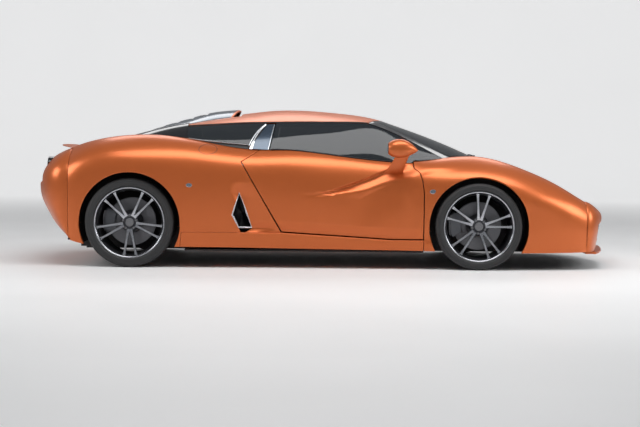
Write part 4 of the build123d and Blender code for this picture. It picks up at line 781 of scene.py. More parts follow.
NOSE = end_cap(FENDER_END, 3.95, NOSE_PROFILE, NOSE_X, 1, 2.0)
TAIL = end_cap(QUARTER_END - TRIM, 3.75, TAIL_PROFILE, TAIL_X, -1, 2.5)
NOSE_OPENING = ((210, 205), (640, 225), (690, 330), (560, 352), (250, 340))
REAR_OPENING = (
    *((700, 620), (660, 775), (300, 815), (-300, 815)),
    *((-660, 775), (-700, 620), (-560, 600), (560, 600)),
)
TAIL_LAMPS = ((600, 734, -2069), (424, 734, -2100))  # y, z, x
EXHAUST_AT = (-2060, 470, 366)
LAMP_HOLE_R, EXHAUST_HOLE_R = 64.8, 48
NOSE_CORE, TAIL_CORE = (1500, 0, 300), (-1600, 0, 500)


def make_bumpers():
    whole = (0.001, 0.999, 0.0, 1.0)
    cuts = [("yz", [(sign * y, z) for y, z in NOSE_OPENING], False) for sign in (1, -1)]
    nose = panel_mesh(NOSE, whole, cuts, NOSE_CORE, 13, 2.2, PANEL_T)
    dress(nose.make("front_bumper_skin", PAINT), "body", "paint", "front_bumper")
    cuts = [("yz", REAR_OPENING, False)]
    holes = [(y, z, LAMP_HOLE_R) for y, z, _ in TAIL_LAMPS] + [(*EXHAUST_AT[1:], EXHAUST_HOLE_R)]
    for y, z, r in holes:
        cuts += [("yz", arc(sign * y, z, r, 40), False) for sign in (1, -1)]
    tail = panel_mesh(TAIL, whole, cuts, TAIL_CORE, 14, 2.2, PANEL_T)
    dress(tail.make("rear_bumper_skin", PAINT), "body", "paint", "rear_bumper")


make_side()
make_hood()
make_bumpers()


# ---- wheels --------------------------------------------------------------------------------------
WHEELS = {  # axle x, tyre radius, tyre width, y of its outer face, angle of the first pair of spokes
    "front": (FRONT_X, FRONT_R, 235, HALF_WIDTH - 36, 10.5),
    "rear": (REAR_X, REAR_R, 295, HALF_WIDTH - 22, 55.5),
}
RIM_R, BEAD_R, BARREL_R, DISC_R = 259, 246, 232, 178
HUB_OFFSET, DISC_T, CAP_R = 38, 30, 31


def lathe(mesh, profile, count=96, material=0, split=28):
    """Turns a profile of (y, r) about the Y axis; sharp corners get doubled vertices."""
    profile = np.asarray(profile, float)
    d = unit(np.diff(profile, axis=0))
    cut = [0]
    for k in range(1, len(profile) - 1):
        if np.dot(d[k - 1], d[k]) < math.cos(math.radians(split)):
            cut.append(k)
    cut.append(len(profile) - 1)
    angle = turns(count)[:, None]
    spun = lambda r, y: np.stack([r * np.cos(angle), 0 * angle + y, r * np.sin(angle)], -1)
    for a, b in zip(cut[:-1], cut[1:]):
        part = profile[a : b + 1]
        slope = unit(np.gradient(part, axis=0))
        mesh.grid(spun(part[:, 1], part[:, 0]), spun(slope[:, 0], -slope[:, 1]), material, wrap_u=True)


def tread(y, angle, half):
    """Depth of the tread's grooves at (y, angle)."""
    depth = np.zeros(np.broadcast(y, angle).shape)
    for groove in (-0.52, -0.2, 0.12, 0.44):
        depth += 6 * smooth(7.5, 4.5, np.abs(y - groove * half))
    pitch = (angle * 64 / (2 * math.pi) + 0.9 * y / half) % 1.0
    blocks = 5 * smooth(0.11, 0.06, np.abs(pitch - 0.5)) * smooth(0.44, 0.5, np.abs(y / half))
    beside = smooth(0.2, 0.26, np.abs(y / half - 0.28))
    sipes = 3 * smooth(0.09, 0.05, np.abs(((pitch * 2) % 1.0) - 0.5)) * beside
    return np.maximum(depth, np.maximum(blocks, sipes * smooth(0.44, 0.4, np.abs(y / half))))


def make_tyre(axle):
    x, radius, width, outer_y, _ = WHEELS[axle]
    half = width / 2
    shoulder = radius - 3
    side_profile = [
        (half - 17, BEAD_R),
        (half - 16, RIM_R + 1.5),
        (half - 9, RIM_R + 2.5),
        (half - 4, RIM_R + 7),
        (half - 1.5, RIM_R + 12),
        (half - 0.6, RIM_R + 14),
        (half - 1.6, RIM_R + 16),
        (half - 1.2, RIM_R + 21),
        (half - 0.6, RIM_R + 27),
        (half - 1.4, RIM_R + 33),
        (half - 3.2, radius - 27),
        (half - 2.2, radius - 25),
        (half - 2.6, radius - 21),
        (half - 5.6, radius - 18.5),
        (half - 8, radius - 13),
        (half - 13, radius - 7.5),
        (half - 22, shoulder - 0.5),
    ]
    mesh = Mesh()
    lathe(mesh, side_profile[::-1], 128, split=50)
    lathe(mesh, [(-y, r) for y, r in side_profile], 128, split=50)
    angle = turns(448)[:, None]
    y = np.linspace(-half + 22, half - 22, 46)[None, :]
    crown = shoulder - 0.5 + 3.4 * (1 - (y / (half - 22)) ** 2)
    edge_fade = smooth(half - 22, half - 27, np.abs(y))
    r = crown - tread(y, angle, half) * edge_fade
    points = np.stack([r * np.cos(angle), y + 0 * angle, r * np.sin(angle)], -1)
    n = np.cross(np.gradient(points, axis=1), around(points, 0))
    mesh.grid(points, outward(n, points), wrap_u=True)
    return placed(mesh, x, outer_y - half, radius)


def outward(n, away):
    """Unit normals on the side that away points to."""
    n = unit(n)
    return n * np.where((n * away).sum(-1, keepdims=True) < 0, -1, 1)


def placed(mesh, x, y, z):
    mesh.v = [points + (x, y, z) for points in mesh.v]
    return mesh


def spoke_loft(mesh, angle, face_y):
    """One arm of a pair: dark sides, a machined outer face, running out to the rim's lip."""
    rows = (  # radius, half width, y of the face, how deep, in from the pair's side
        (46, 13.5, face_y - 9, 34),
        (80, 11.0, face_y - 5, 30),
        (130, 9.5, face_y - 1, 25),
        (180, 9.0, face_y + 1, 21),
        (216, 9.5, face_y + 3, 18),
        (236, 12.5, face_y + 5, 17),
        (246, 17.0, face_y + 6, 16),
    )
    bevel = 2.2
    sections = []
    for r, w, y, deep in rows:
        sections.append(
            [
                (r, -w * 0.72, y - deep),
                (r, -w, y - bevel * 2.2),
                (r, -w + bevel, y),
                (r, w - bevel, y),
                (r, w, y - bevel * 2.2),
                (r, w * 0.72, y - deep),
            ]
        )
    rows_fine = np.linspace(0, len(rows) - 1, 19)
    table = Curve(range(len(rows)), np.array(sections).reshape(len(rows), -1))
    fine = table(rows_fine).reshape(-1, 6, 3)
    c, s = math.cos(angle), math.sin(angle)
    along, across, out = np.moveaxis(fine, -1, 0)
    fine = np.stack([along * c - across * s, out, along * s + across * c], -1)
    for k, material in ((0, 0), (1, 1), (2, 1), (3, 1), (4, 0)):
        strip = fine[:, k : k + 2]
        n = np.cross(np.gradient(strip, axis=1), np.gradient(strip, axis=0))
        mesh.grid(strip, outward(n, strip - fine.mean(1, keepdims=True)), material)
    back = np.stack([fine[:, 5], fine[:, 0]], 1)
    mesh.grid(back, np.zeros_like(back) + (0, -1, 0), 0)


def make_rim(axle):
    x, radius, width, outer_y, first = WHEELS[axle]
    half = width / 2
    lip = half - 17
    face = half - 28
    outer_lip = [
        (lip, RIM_R - 9),
        (lip + 0.5, RIM_R - 1),
        (lip + 3, RIM_R),
        (lip + 6, RIM_R - 0.6),
        (lip + 6.6, RIM_R - 4),
        (lip + 5.4, RIM_R - 8),
        (lip + 1, RIM_R - 11),
    ]
    barrel = [
        (lip + 1, RIM_R - 11),
        (lip - 6, BEAD_R - 5),
        (lip - 16, BARREL_R + 6),
        (lip - 40, BARREL_R),
        (-lip + 12, BARREL_R - 3),
        (-lip - 2, BARREL_R + 4),
        (-lip - 6, RIM_R - 4),
    ]
    inner_lip = [
        (-lip - 6, RIM_R - 4),
        (-lip - 3, RIM_R),
        (-lip, RIM_R - 1),
        (-lip, BEAD_R - 0.6),
        (lip, BEAD_R - 0.6),
    ]
    hub = [(-38, 70), (-16, 66), (-10, 58), (-8, 44), (-12, CAP_R + 2), (-16, CAP_R)]
    cap = [(-14, CAP_R), (-9.5, CAP_R - 1), (-8, CAP_R - 4), (-7.4, 18), (-7.2, 0.01)]
    mesh = Mesh()
    lathe(mesh, outer_lip, 128, 1, 60)
    lathe(mesh, barrel, 96, 0, 60)
    lathe(mesh, inner_lip, 96, 0, 30)
    lathe(mesh, [(face + dy, r) for dy, r in hub], 80, 0, 60)
    lathe(mesh, [(face + dy, r) for dy, r in cap], 64, 2, 40)
    lathe(mesh, [(-HUB_OFFSET, 82), (face - 38, 70)], 64, 0)
    for k in range(5):
        pair = math.radians(first + 72 * k)
        for lean in (-10.5, 10.5):
            spoke_loft(mesh, pair + math.radians(lean), face)
        bolt_at(mesh, 50, pair + math.radians(36), face - 6)
    disc = (
        (DISC_T, 90),
        (DISC_T, DISC_R - 1.5),
        (DISC_T - 1.5, DISC_R),
        (20, DISC_R),
        (19.5, DISC_R - 5),
        (10.5, DISC_R - 5),
        (10, DISC_R),
        (1.5, DISC_R),
        (0, DISC_R - 1.5),
        (0, 96),
        (1, 84),
    )
    lathe(mesh, [(-HUB_OFFSET - deep, r) for deep, r in disc], 96, 3, 30)
    return placed(mesh, x, outer_y - half, radius)


def bolt_at(mesh, r, angle, y):
    profile = [(y - 10, 8.4), (y + 3, 8.2), (y + 5, 7.0), (y + 5, 4.4), (y + 1, 4.0), (y + 1, 0.01)]
    bolt = Mesh()
    lathe(bolt, profile, 12, 2, 30)
    mesh.join(placed(bolt, r * math.cos(angle), 0, r * math.sin(angle)))


def make_caliper(axle):
    """A plain caliper over the disc's rear edge."""
    x, radius, width, outer_y, _ = WHEELS[axle]
    middle = outer_y - width / 2 - HUB_OFFSET - DISC_T / 2
    mesh = Mesh()
    spans = np.linspace(math.radians(150), math.radians(205), 22)
    over_disc = [(120, -36), (128, -42), (200, -42), (210, -34), (212, 0), (210, 32), (200, 40), (128, 40)]
    profile = over_disc + [(118, 34), (118, 22), (182, 20), (186, 0), (182, -20), (118, -22)]  # (r, y)
    share = np.linspace(0, 1, 22)
    ends = smooth(0, 0.09, share) * smooth(1, 0.91, share)
    points = []
    for a, e in zip(spans, ends):
        row = []
        for r, y in profile:
            r = 165 + (r - 165) * (0.9 + 0.1 * e)
            row.append((r * math.cos(a), y * (0.86 + 0.14 * e), r * math.sin(a)))
        points.append(row)
    points = np.array(points)
    n = np.cross(around(points, 1), np.gradient(points, axis=0))
    mesh.grid(points, outward(n, points - points.mean(1, keepdims=True)), 0, wrap_v=True)
    away = np.array((-math.sin(spans[0]), 0, math.cos(spans[0])))
    for row, sign in ((points[0], -1), (points[-1], 1)):
        start = mesh.add(row, np.zeros_like(row) + sign * away)
        mesh.faces([range(start, start + len(row))], 0)
    return placed(mesh, x, middle, radius)


for axle in WHEELS:
    hub = axle + "_wheel_{s}"
    sides(axle + "_tyre_{s}_tread", make_tyre(axle), [M["rubber"]], "tyre", hub, [axle + "_tyre_{s}"])
    looks = [M["dark_metal"], M["machined"], M["cast"], M["disc"]]
    sides(axle + "_rim_{s}_spokes", make_rim(axle), looks, "dark_metal", hub, [axle + "_rim_{s}"])
    carrier = "front_knuckle_{s}" if axle == "front" else "body"
    sides(axle + "_caliper_{s}", make_caliper(axle), [M["caliper"]], "steel", carrier)


# ---- bars and beads ------------------------------------------------------------------------------
def oval(width, height, count=12):
    """A loop of (across, out) offsets round an ellipse."""
    return [(width / 2 * math.cos(a), height / 2 * math.sin(a)) for a in turns(count)]


def bar(width, height, r, count=3):
    """A rounded rectangle as a loop of (across, out) offsets."""
    loop = []
    for k, (a, b) in enumerate(((1, 1), (-1, 1), (-1, -1), (1, -1))):
        for turn in np.linspace(k * 90, k * 90 + 90, count):
            c, s = math.cos(math.radians(turn)), math.sin(math.radians(turn))
            loop.append((a * (width / 2 - r) + r * c, b * (height / 2 - r) + r * s))
    return loop


def sweep(mesh, path, across, out, section, material=0, size=None, caps=True):
    """A bar along path; section is a loop of offsets along across and out, times size at each point."""
    path = np.asarray(path, float)
    across, out = (unit(np.broadcast_to(np.asarray(d, float), path.shape)) for d in (across, out))
    loop = np.broadcast_to(np.asarray(section, float), (len(path), len(section), 2))
    if size is not None:
        loop = loop * np.asarray(size, float).reshape(len(path), 1, -1)
    points = path[:, None] + across[:, None] * loop[..., :1] + out[:, None] * loop[..., 1:]
    n = np.cross(around(points, 1), np.gradient(points, axis=0))
    mesh.grid(points, outward(n, points - points.mean(1, keepdims=True)), material, wrap_v=True)
    if caps:
        for k, ahead in ((0, path[0] - path[1]), (-1, path[-1] - path[-2])):
            start = mesh.add(points[k].copy(), np.zeros_like(points[k]) + unit(ahead))
            mesh.faces([range(start, start + len(section))], material)


# ---- greenhouse ----------------------------------------------------------------------------------
GREENHOUSE_ROWS = (  # x from the front axle, belt y and z, rail y and z, the roof's height in the middle
    (-160, 705, 786, 560, 905, 915),
    (-535, 762, 786, 574, 1012, 1040),
    (-700, 770, 790, 586, 1062, 1098),
    (-1025, 786, 828, 600, 1084, 1152),
    (-1320, 790, 852, 604, 1082, 1172),
    (-1535, 792, 872, 604, 1078, 1168),
    (-1755, 782, 894, 602, 1072, 1142),
    (-1985, 762, 918, 600, 1058, 1106),
    (-2175, 742, 936, 600, 1044, 1062),
    (-2590, 702, 948, 590, 962, 968),
)
GREEN = Curve([FRONT_X + row[0] for row in GREENHOUSE_ROWS], [row[1:] for row in GREENHOUSE_ROWS])
WINDSCREEN = Curve(range(5), ((455, 1092), (640, 1031), (832, 962), (1030, 882), (1235, 790)))
PILLAR_EDGE = Curve((328, 393, 610, 915), (1072, 1052, 957, 795))
ROOF_REAR, SCOOP_X = -1022, -654
GLASS_REAR = ((-409, 881), (-369, 1068))  # (x, z) at belt and rail
PANEL_REAR = ((-560, 878), (-428, 1080))
GLASS_FRONT_X = 575
COVER_ROWS = (  # x, height in the middle, half width, how far the edge lies lower
    (-662, 1173, 372, 62),
    (-900, 1146, 405, 64),
    (-1061, 1101, 430, 50),
    (-1279, 1034, 474, 34),
    (-1460, 958, 520, 10),
)
COVER = Curve([row[0] for row in COVER_ROWS], [row[1:] for row in COVER_ROWS])


def bisect(f, low, high, steps=36):
    """Where the rising f crosses zero, for arrays."""
    for _ in range(steps):
        middle = (low + high) / 2
        past = f(middle) > 0
        low, high = np.where(past, low, middle), np.where(past, middle, high)
    return (low + high) / 2


def top_height(x, y):
    """Height of the body skin's top over x, y."""
    x, y = np.broadcast_arrays(np.asarray(x, float), np.abs(y))
    v = bisect(lambda v: y - skin(x, v)[..., 1], 0 * x + SHOULDER, 0 * x + CENTRE)
    return skin(x, v)[..., 2]


def glass_side(x, t):
    """On the greenhouse's side, from the belt (t = 0) to the rail (t = 1)."""
    x, t = np.broadcast_arrays(np.asarray(x, float), np.asarray(t, float))
    belt_y, belt_z, rail_y, rail_z, _ = np.moveaxis(GREEN(x), -1, 0)
    bow = 56 * t * (1 - t)
    y = belt_y + (rail_y - belt_y) * t + 0.8 * bow
    return np.stack([x, y, belt_z + (rail_z - belt_z) * t + 0.6 * bow], -1)


def on_side(x, z, out=0.0):
    """The point of the greenhouse's side at x, z, moved out along its normal."""
    x, z = np.broadcast_arrays(np.asarray(x, float), np.asarray(z, float))
    t = bisect(lambda t: glass_side(x, t)[..., 2] - z, 0 * x - 0.3, 0 * x + 1.1)
    return glass_side(x, t) + out * normals(glass_side, x, t, 1, 0.01, (0, 0, 700))


def roof_height(x, y):
    _, _, rail_y, rail_z, roof_z = np.moveaxis(GREEN(x), -1, 0)
    return roof_z - (roof_z - rail_z) * np.minimum(np.abs(y) / rail_y, 1.2) ** 2.6


def windscreen(s, t):
    """From header to base along s, and across along t."""
    s, t = np.broadcast_arrays(np.asarray(s, float), np.asarray(t, float))
    share = 2 * t - 1
    middle = WINDSCREEN(4 * s)
    x = middle[..., 0] - (95 + 205 * s) * share**2
    y = (520 + 142 * s) * share
    z = middle[..., 1] - (26 - 18 * s) * share**2
    miss = roof_height(455 - 95 * share**2, 520 * share) - (1092 - 26 * share**2)
    return np.stack([x, y, z + miss * (1 - s) ** 3], -1)


def belt_cut(x):
    """Height at which the side glass ends above the door or the panels."""
    x = np.asarray(x, float)
    y = GREEN(x)[..., 0]
    panels = np.maximum(top_height(x, y), top_height(x, y - 14))
    return np.where((x > DOOR_TOP) & (x < DOOR_FRONT - 74), skin(x, CREST)[..., 2], panels) + TRIM


def points_of(f, x0, x1, steps=15):
    return [(x, float(f(x))) for x in np.linspace(x0, x1, steps)]


def belt_line(x0, x1, lift=0.4):
    return points_of(lambda x: belt_cut(x) + lift, x0, x1)


def rail_z(x, drop):
    return GREEN(x)[..., 3] - drop


GLASS = [M["glass"], M["glass"]]
GLASS_CORE, SCREEN_CORE = (0, 0, 800), (400, 0, 700)
SCREEN_T, SCREEN_BASE = 5, 1324  # thickness, width at the base


def wedge_top(x):
    """Upper edge of the dark slot under the rear side glass."""
    return belt_cut(x) + 3 + 27 * smooth(-1010, PANEL_REAR[0][0], x)


def make_side_glass():
    g = SHUT / 2
    outline = belt_line(GLASS_REAR[0][0] + g, GLASS_FRONT_X - g)
    outline += points_of(lambda x: PILLAR_EDGE(x) - 9.1, GLASS_FRONT_X - g, 372)
    outline += points_of(lambda x: rail_z(x, 12), 330, GLASS_REAR[1][0] + g + 2)
    door = panel_mesh(glass_side, (-480, 640, -0.15, 1), [("xz", outline, True)], GLASS_CORE, 22, 1.0, 5)
    sides("door_glass_{s}_pane", door, GLASS, "glass", "door_{s}", ["door_glass_{s}"])

    outline = belt_line(GLASS_FRONT_X + g, 872)
    outline += points_of(lambda x: PILLAR_EDGE(x) - 4.6, 868, GLASS_FRONT_X + g)
    front = panel_mesh(glass_side, (540, 960, -0.3, 1), [("xz", outline, True)], GLASS_CORE, 16, 1.0, 5)
    top = points_of(lambda x: rail_z(x, 12), PANEL_REAR[1][0] - 15, ROOF_REAR)
    corner = [(PANEL_REAR[1][0] - TRIM, PANEL_REAR[1][1])]
    outline = points_of(lambda x: wedge_top(x) + 4, ROOF_REAR, PANEL_REAR[0][0] + 18) + corner + top
    rear = panel_mesh(glass_side, (-1080, -420, -0.15, 1), [("xz", outline, True)], GLASS_CORE, 18, 1.0, 5)
    sides("front_quarter_glass_{s}", front, GLASS, "glass", both="quarter_glass")
    sides("rear_quarter_glass_{s}", rear, GLASS, "glass")

    sunk = lambda x, t: glass_side(x, t) - (0, 12, 0)
    x0, x1 = ROOF_REAR + 8, PANEL_REAR[0][0] - 4
    outline = belt_line(x0, x1, -2) + points_of(wedge_top, x1, x0)
    slot = panel_mesh(sunk, (-1080, -500, -0.2, 0.5), [("xz", outline, True)], GLASS_CORE, 12, 0.6, 3)
    sides("rear_glass_slot_{s}", slot, [M["black"], M["black"]], "black_plastic")


def along_side(mesh, points, width, height, material=0, out=0.0, size=None):
    """A bead on the greenhouse's side along (x, z) points."""
    points = np.array(points, float)
    path = on_side(points[:, 0], points[:, 1], out)
    away = unit(on_side(points[:, 0], points[:, 1], out + 1) - path)
    across = np.cross(np.gradient(path, axis=0), away)
    sweep(mesh, path, across, away, bar(width, height, min(width, height) * 0.45), material, size)


def make_side_trim():
    """Bright lines round the rear glass and the pillar panel, and seals round the door glass."""
    g = SHUT / 2
    trims = Mesh()
    along_side(trims, points_of(wedge_top, -1008, PANEL_REAR[0][0] + 4, 24), 6, 6, 0, 0.5)
    foot, head = PANEL_REAR
    curve = [(0.0, 0.0), (0.10, 0.2), (0.26, 0.45), (0.52, 0.75), (0.84, 1.0)]
    for shift, width, t in ((0, 6, 1.0), (20, 5, 0.97)):
        rows = Curve([c[1] for c in curve], [c[0] for c in curve])
        line = []
        for share in np.linspace(0, t, 18):
            x = foot[0] + shift * (1 - 0.55 * share) + (head[0] - foot[0] + 8) * float(rows(share))
            z = belt_cut(foot[0]) + 22 * (1 - share) + (rail_z(head[0], 20) - belt_cut(foot[0])) * share
            line.append((x, z))
        along_side(trims, line, width, 5, 0, 1.0)
    a, b = GLASS_REAR
    low, high = float(belt_cut(a[0] - g)) + 2, float(rail_z(b[0] - g, 24))
    edge = [(a[0] - g - 5 + (b[0] - a[0]) * k, low + (high - low) * k) for k in np.linspace(0, 1, 12)]
    along_side(trims, edge, 6, 5, 0, 1.0)
    plate = [(foot[0] + x, low + z) for x, z in ((4, 4), (24, 2), (42, 60), (26, 62))]
    proud = lambda x, t: glass_side(x, t) + (0, 1.2, 0)
    fill = panel_mesh(proud, (-600, -480, -0.1, 0.6), [("xz", plate, True)], GLASS_CORE, 8, 0.8, 3)
    sides("pillar_trim_{s}", trims, [M["trim"]], "steel", "body")
    sides("pillar_wedge_{s}", fill, [M["trim"], M["trim"]], "steel", "body")

    seals = Mesh()
    along_side(seals, belt_line(GLASS_REAR[0][0] + g + 4, GLASS_FRONT_X - g - 2, 3.5), 9, 10, 0, 0.5)
    sides("door_belt_seal_{s}", seals, [M["black"]], "black_plastic", "door_{s}")
    frame_line = Mesh()
    for x0, x1, steps in ((322, PANEL_REAR[1][0] - 40, 30), (PANEL_REAR[1][0] - 44, ROOF_REAR + 6, 24)):
        along_side(frame_line, points_of(lambda x: rail_z(x, 5.6), x0, x1, steps), 10, 8, 0, -1.0)
    sides("roof_rail_seal_{s}", frame_line, [M["black"]], "black_plastic", "body")


def make_pillar_panels():
    g = SHUT / 2
    outline = [(PANEL_REAR[0][0], float(belt_cut(PANEL_REAR[0][0])))]
    outline += [(GLASS_REAR[0][0] - g, float(belt_cut(GLASS_REAR[0][0])))]
    outline += [(GLASS_REAR[1][0] - g, float(rail_z(GLASS_REAR[1][0], 20)))]
    outline += [(PANEL_REAR[1][0], float(rail_z(PANEL_REAR[1][0], 20)))]
    panel = panel_mesh(glass_side, (-620, -340, -0.15, 1), [("xz", outline, True)], GLASS_CORE, 12, 1.6, 14)
    sides("pillar_panel_{s}_skin", panel, [M["slate"], M["under"]], "pillar_panel", both="pillar_panels")


def make_windscreen():
    """Tinted glass with a black band round its edge."""
    nu, nv = 60, 80
    s, t = np.linspace(0, 1, nu + 1), np.linspace(0, 1, nv + 1)
    s[1], s[-2], t[1], t[-2] = 0.002, 0.998, 0.0015, 0.9985
    ss, tt = np.meshgrid(s, t, indexing="ij")
    n = normals(windscreen, ss, tt, 0.002, 0.002, SCREEN_CORE)
    points = windscreen(ss, tt)
    mesh = Mesh()
    faces = ((points, n), (points - SCREEN_T * n, -n))
    layers = [mesh.add(p.reshape(-1, 3), m.reshape(-1, 3)) for p, m in faces]
    i, j = (a.ravel() for a in np.meshgrid(range(nu), range(nv), indexing="ij"))
    band = (i < 3) | (i > nu - 6) | (j < 4) | (j > nv - 5)
    at = lambda a, b: a * (nv + 1) + b
    for start in layers:
        rows = start + np.stack([at(i, j), at(i + 1, j), at(i + 1, j + 1), at(i, j + 1)], 1)
        mesh.faces(rows[~band], 0)
        mesh.faces(rows[band], 1)
    loop = [(k, 0) for k in range(nu)] + [(nu, k) for k in range(nv)]
    loop += [(nu - k, nv) for k in range(nu)] + [(0, nv - k) for k in range(nv)]
    loop = np.array(loop)
    rim = points[loop[:, 0], loop[:, 1]]
    away = unit(rim - rim.mean(0))
    down = n[loop[:, 0], loop[:, 1]]
    mesh.grid(np.stack([rim, rim - SCREEN_T * down], 1), np.stack([away, away], 1), 1, wrap_u=True)
    dress(mesh.make("windscreen_pane", [M["glass"], M["gloss"]]), "body", "glass", "windscreen")


def pillar(s, t):
    """From the windscreen's edge (t = 0) to the side glass (t = 1), down the pillar along s."""
    s, t = np.broadcast_arrays(np.asarray(s, float), np.asarray(t, float))
    near = windscreen(s, 1 + TRIM / 1040)
    x = 328 + (915 - 328) * s
    return near + (on_side(x, PILLAR_EDGE(x)) - near) * t[..., None]


def make_windscreen_pillars():
    def bare(s, t):
        """The stretch of the pillar above the body."""
        t = np.broadcast_arrays(s, t)[1] * 1.0
        gone = lambda a: top_height(pillar(a, t)[..., 0], pillar(a, t)[..., 1]) + 1 - pillar(a, t)[..., 2]
        last = bisect(gone, 0 * t + 0.5, 0 * t + 1.0, 20)
        return pillar(s * last, t)

    mesh = Mesh()
    s, t = np.meshgrid(np.linspace(0, 1, 48), np.linspace(0.012, 0.988, 10), indexing="ij")
    n = normals(bare, s, t, 0.004, 0.01, SCREEN_CORE)
    points = bare(s, t)
    mesh.grid(points, n, 0)
    for k, other in ((0, -1), (-1, 0)):
        away = unit(points[:, k] - points[:, other])
        wall = np.stack([points[:, k], points[:, k] - 18 * n[:, k]], 1)
        mesh.grid(wall, np.stack([away, away], 1), 0)
    mesh.grid(points - 18 * n, -n, 0)
    sides("windscreen_pillar_{s}_skin", mesh, [M["gloss"]], "black_plastic", both="windscreen_pillars")


# ---- roof and engine cover -----------------------------------------------------------------------
def roof_point(s, t):
    s, t = np.broadcast_arrays(np.asarray(s, float), np.asarray(t, float))
    share = 2 * t - 1
    header_y = share * float(GREEN(0.0)[2])
    x = (455 - 95 * (header_y / 520) ** 2 - 2 * TRIM) * (1 - s) + ROOF_REAR * s
    y = share * GREEN(x)[..., 2]
    return np.stack([x, y, roof_height(x, y)], -1)


def cover_half(x):
    return COVER(x)[..., 1]


def cover_span(gap):
    rows = np.linspace(SCOOP_X + 2 * gap, COVER_ROWS[-1][0] - 60, 16)
    edge = [(x, float(cover_half(x)) + gap) for x in rows]
    return edge + [(x, -y) for x, y in reversed(edge)]


def cover_point(s, t):
    s, t = np.broadcast_arrays(np.asarray(s, float), np.asarray(t, float))
    share = 2 * t - 1
    x = COVER_ROWS[0][0] + (COVER_ROWS[-1][0] - COVER_ROWS[0][0]) * s - 50 * (1 - s) * share**2
    z, half, drop = np.moveaxis(COVER(x), -1, 0)
    return np.stack([x, share * half, z - drop * np.abs(share) ** 3], -1)


LOUVRES = ((-905, 62), (-1015, 62), (-1125, 62), (-1235, 62), (-1345, 58))  # x of the front edge, length
LOUVRE_SHARE = 0.66  # of the cover's half width
ROOF_CORE, COVER_CORE = (0, 0, 700), (-1000, 0, 500)


def make_roof():
    cuts = [("xy", cover_span(SHUT), False)]
    roof = panel_mesh(roof_point, (0, 1, 0, 1), cuts, ROOF_CORE, 16, 2.0, PANEL_T)
    dress(roof.make("roof_skin", PAINT), "body", "paint", "roof")


def make_cover():
    cuts = []
    for x, length in LOUVRES:
        front, back = (LOUVRE_SHARE * float(cover_half(x - d)) for d in (0, length))
        half = [(x, front - 14), (x - 8, front), (x - length, back)]
        cuts.append(("xy", half + [(a, -y) for a, y in reversed(half)], False))
    cover = panel_mesh(cover_point, (0.012, 1, 0.002, 0.998), cuts, COVER_CORE, 14, 2.0, 12)
    lid = cover.make("engine_cover_skin", [M["slate"], M["under"]])
    dress(lid, "engine_cover", "pillar_panel", "engine_cover")
    blades = Mesh()
    for x, length in LOUVRES:
        y = (LOUVRE_SHARE * float(cover_half(x - length / 2)) + 6) * np.linspace(-1, 1, 25)
        front_x, back_x = x + 10, x - length + 16
        front = np.stack([0 * y + front_x, y, cover_height(front_x, y) - 16], 1)
        back = np.stack([0 * y + back_x, y, cover_height(back_x, y) - 3], 1)
        section = bar(float(np.linalg.norm(front[12] - back[12])), 4, 1.6)
        sweep(blades, (front + back) / 2, front - back, (0, 0, 1), section)
    dress(blades.make("engine_cover_louvres", [M["gloss"]]), "engine_cover", "black_plastic")
    lip = Mesh()
    t = np.linspace(0.01, 0.99, 61)
    path = cover_point(0.012, t)
    ahead = unit(path - cover_point(0.05, t))
    up = normals(cover_point, 0 * t + 0.02, t, 0.004, 0.004, COVER_CORE)
    section = [(-34, -1), (-16, 1.2), (0, 0.6), (8, -3), (11, -9), (9, -15)]
    section += [(3, -18), (-2, -15), (1, -10), (-3, -6), (-16, -5), (-34, -5)]
    sweep(lip, path - 1.5 * up, ahead, up, section)
    dress(lip.make("engine_cover_lip", [M["paint"]]), "engine_cover", "paint")


def cover_height(x, y):
    z, half, drop = np.moveaxis(COVER(np.asarray(x, float)), -1, 0)
    return z - drop * np.abs(y / half) ** 3


SAIL_CORE = (-1200, 0, 600)


def sail(s, t):
    """From the quarter panel up over the rail and in to the engine cover's edge."""
    s, t = np.broadcast_arrays(np.asarray(s, float), np.asarray(t, float))
    x = (ROOF_REAR - TRIM) * (1 - s) + (COVER_ROWS[-1][0] - 4) * s
    low = glass_side(x, -0.1)
    rail = np.stack([x, GREEN(x)[..., 2], GREEN(x)[..., 3]], -1)
    inner_y = cover_half(x) + SHUT
    inner = np.stack([x, inner_y, roof_height(x, inner_y) - 4], -1)
    pull = 2 * rail - (low + inner) / 2
    t = t[..., None]
    p = (1 - t) ** 2 * low + 2 * t * (1 - t) * pull + t**2 * inner
    p[..., 0] = x
    return p


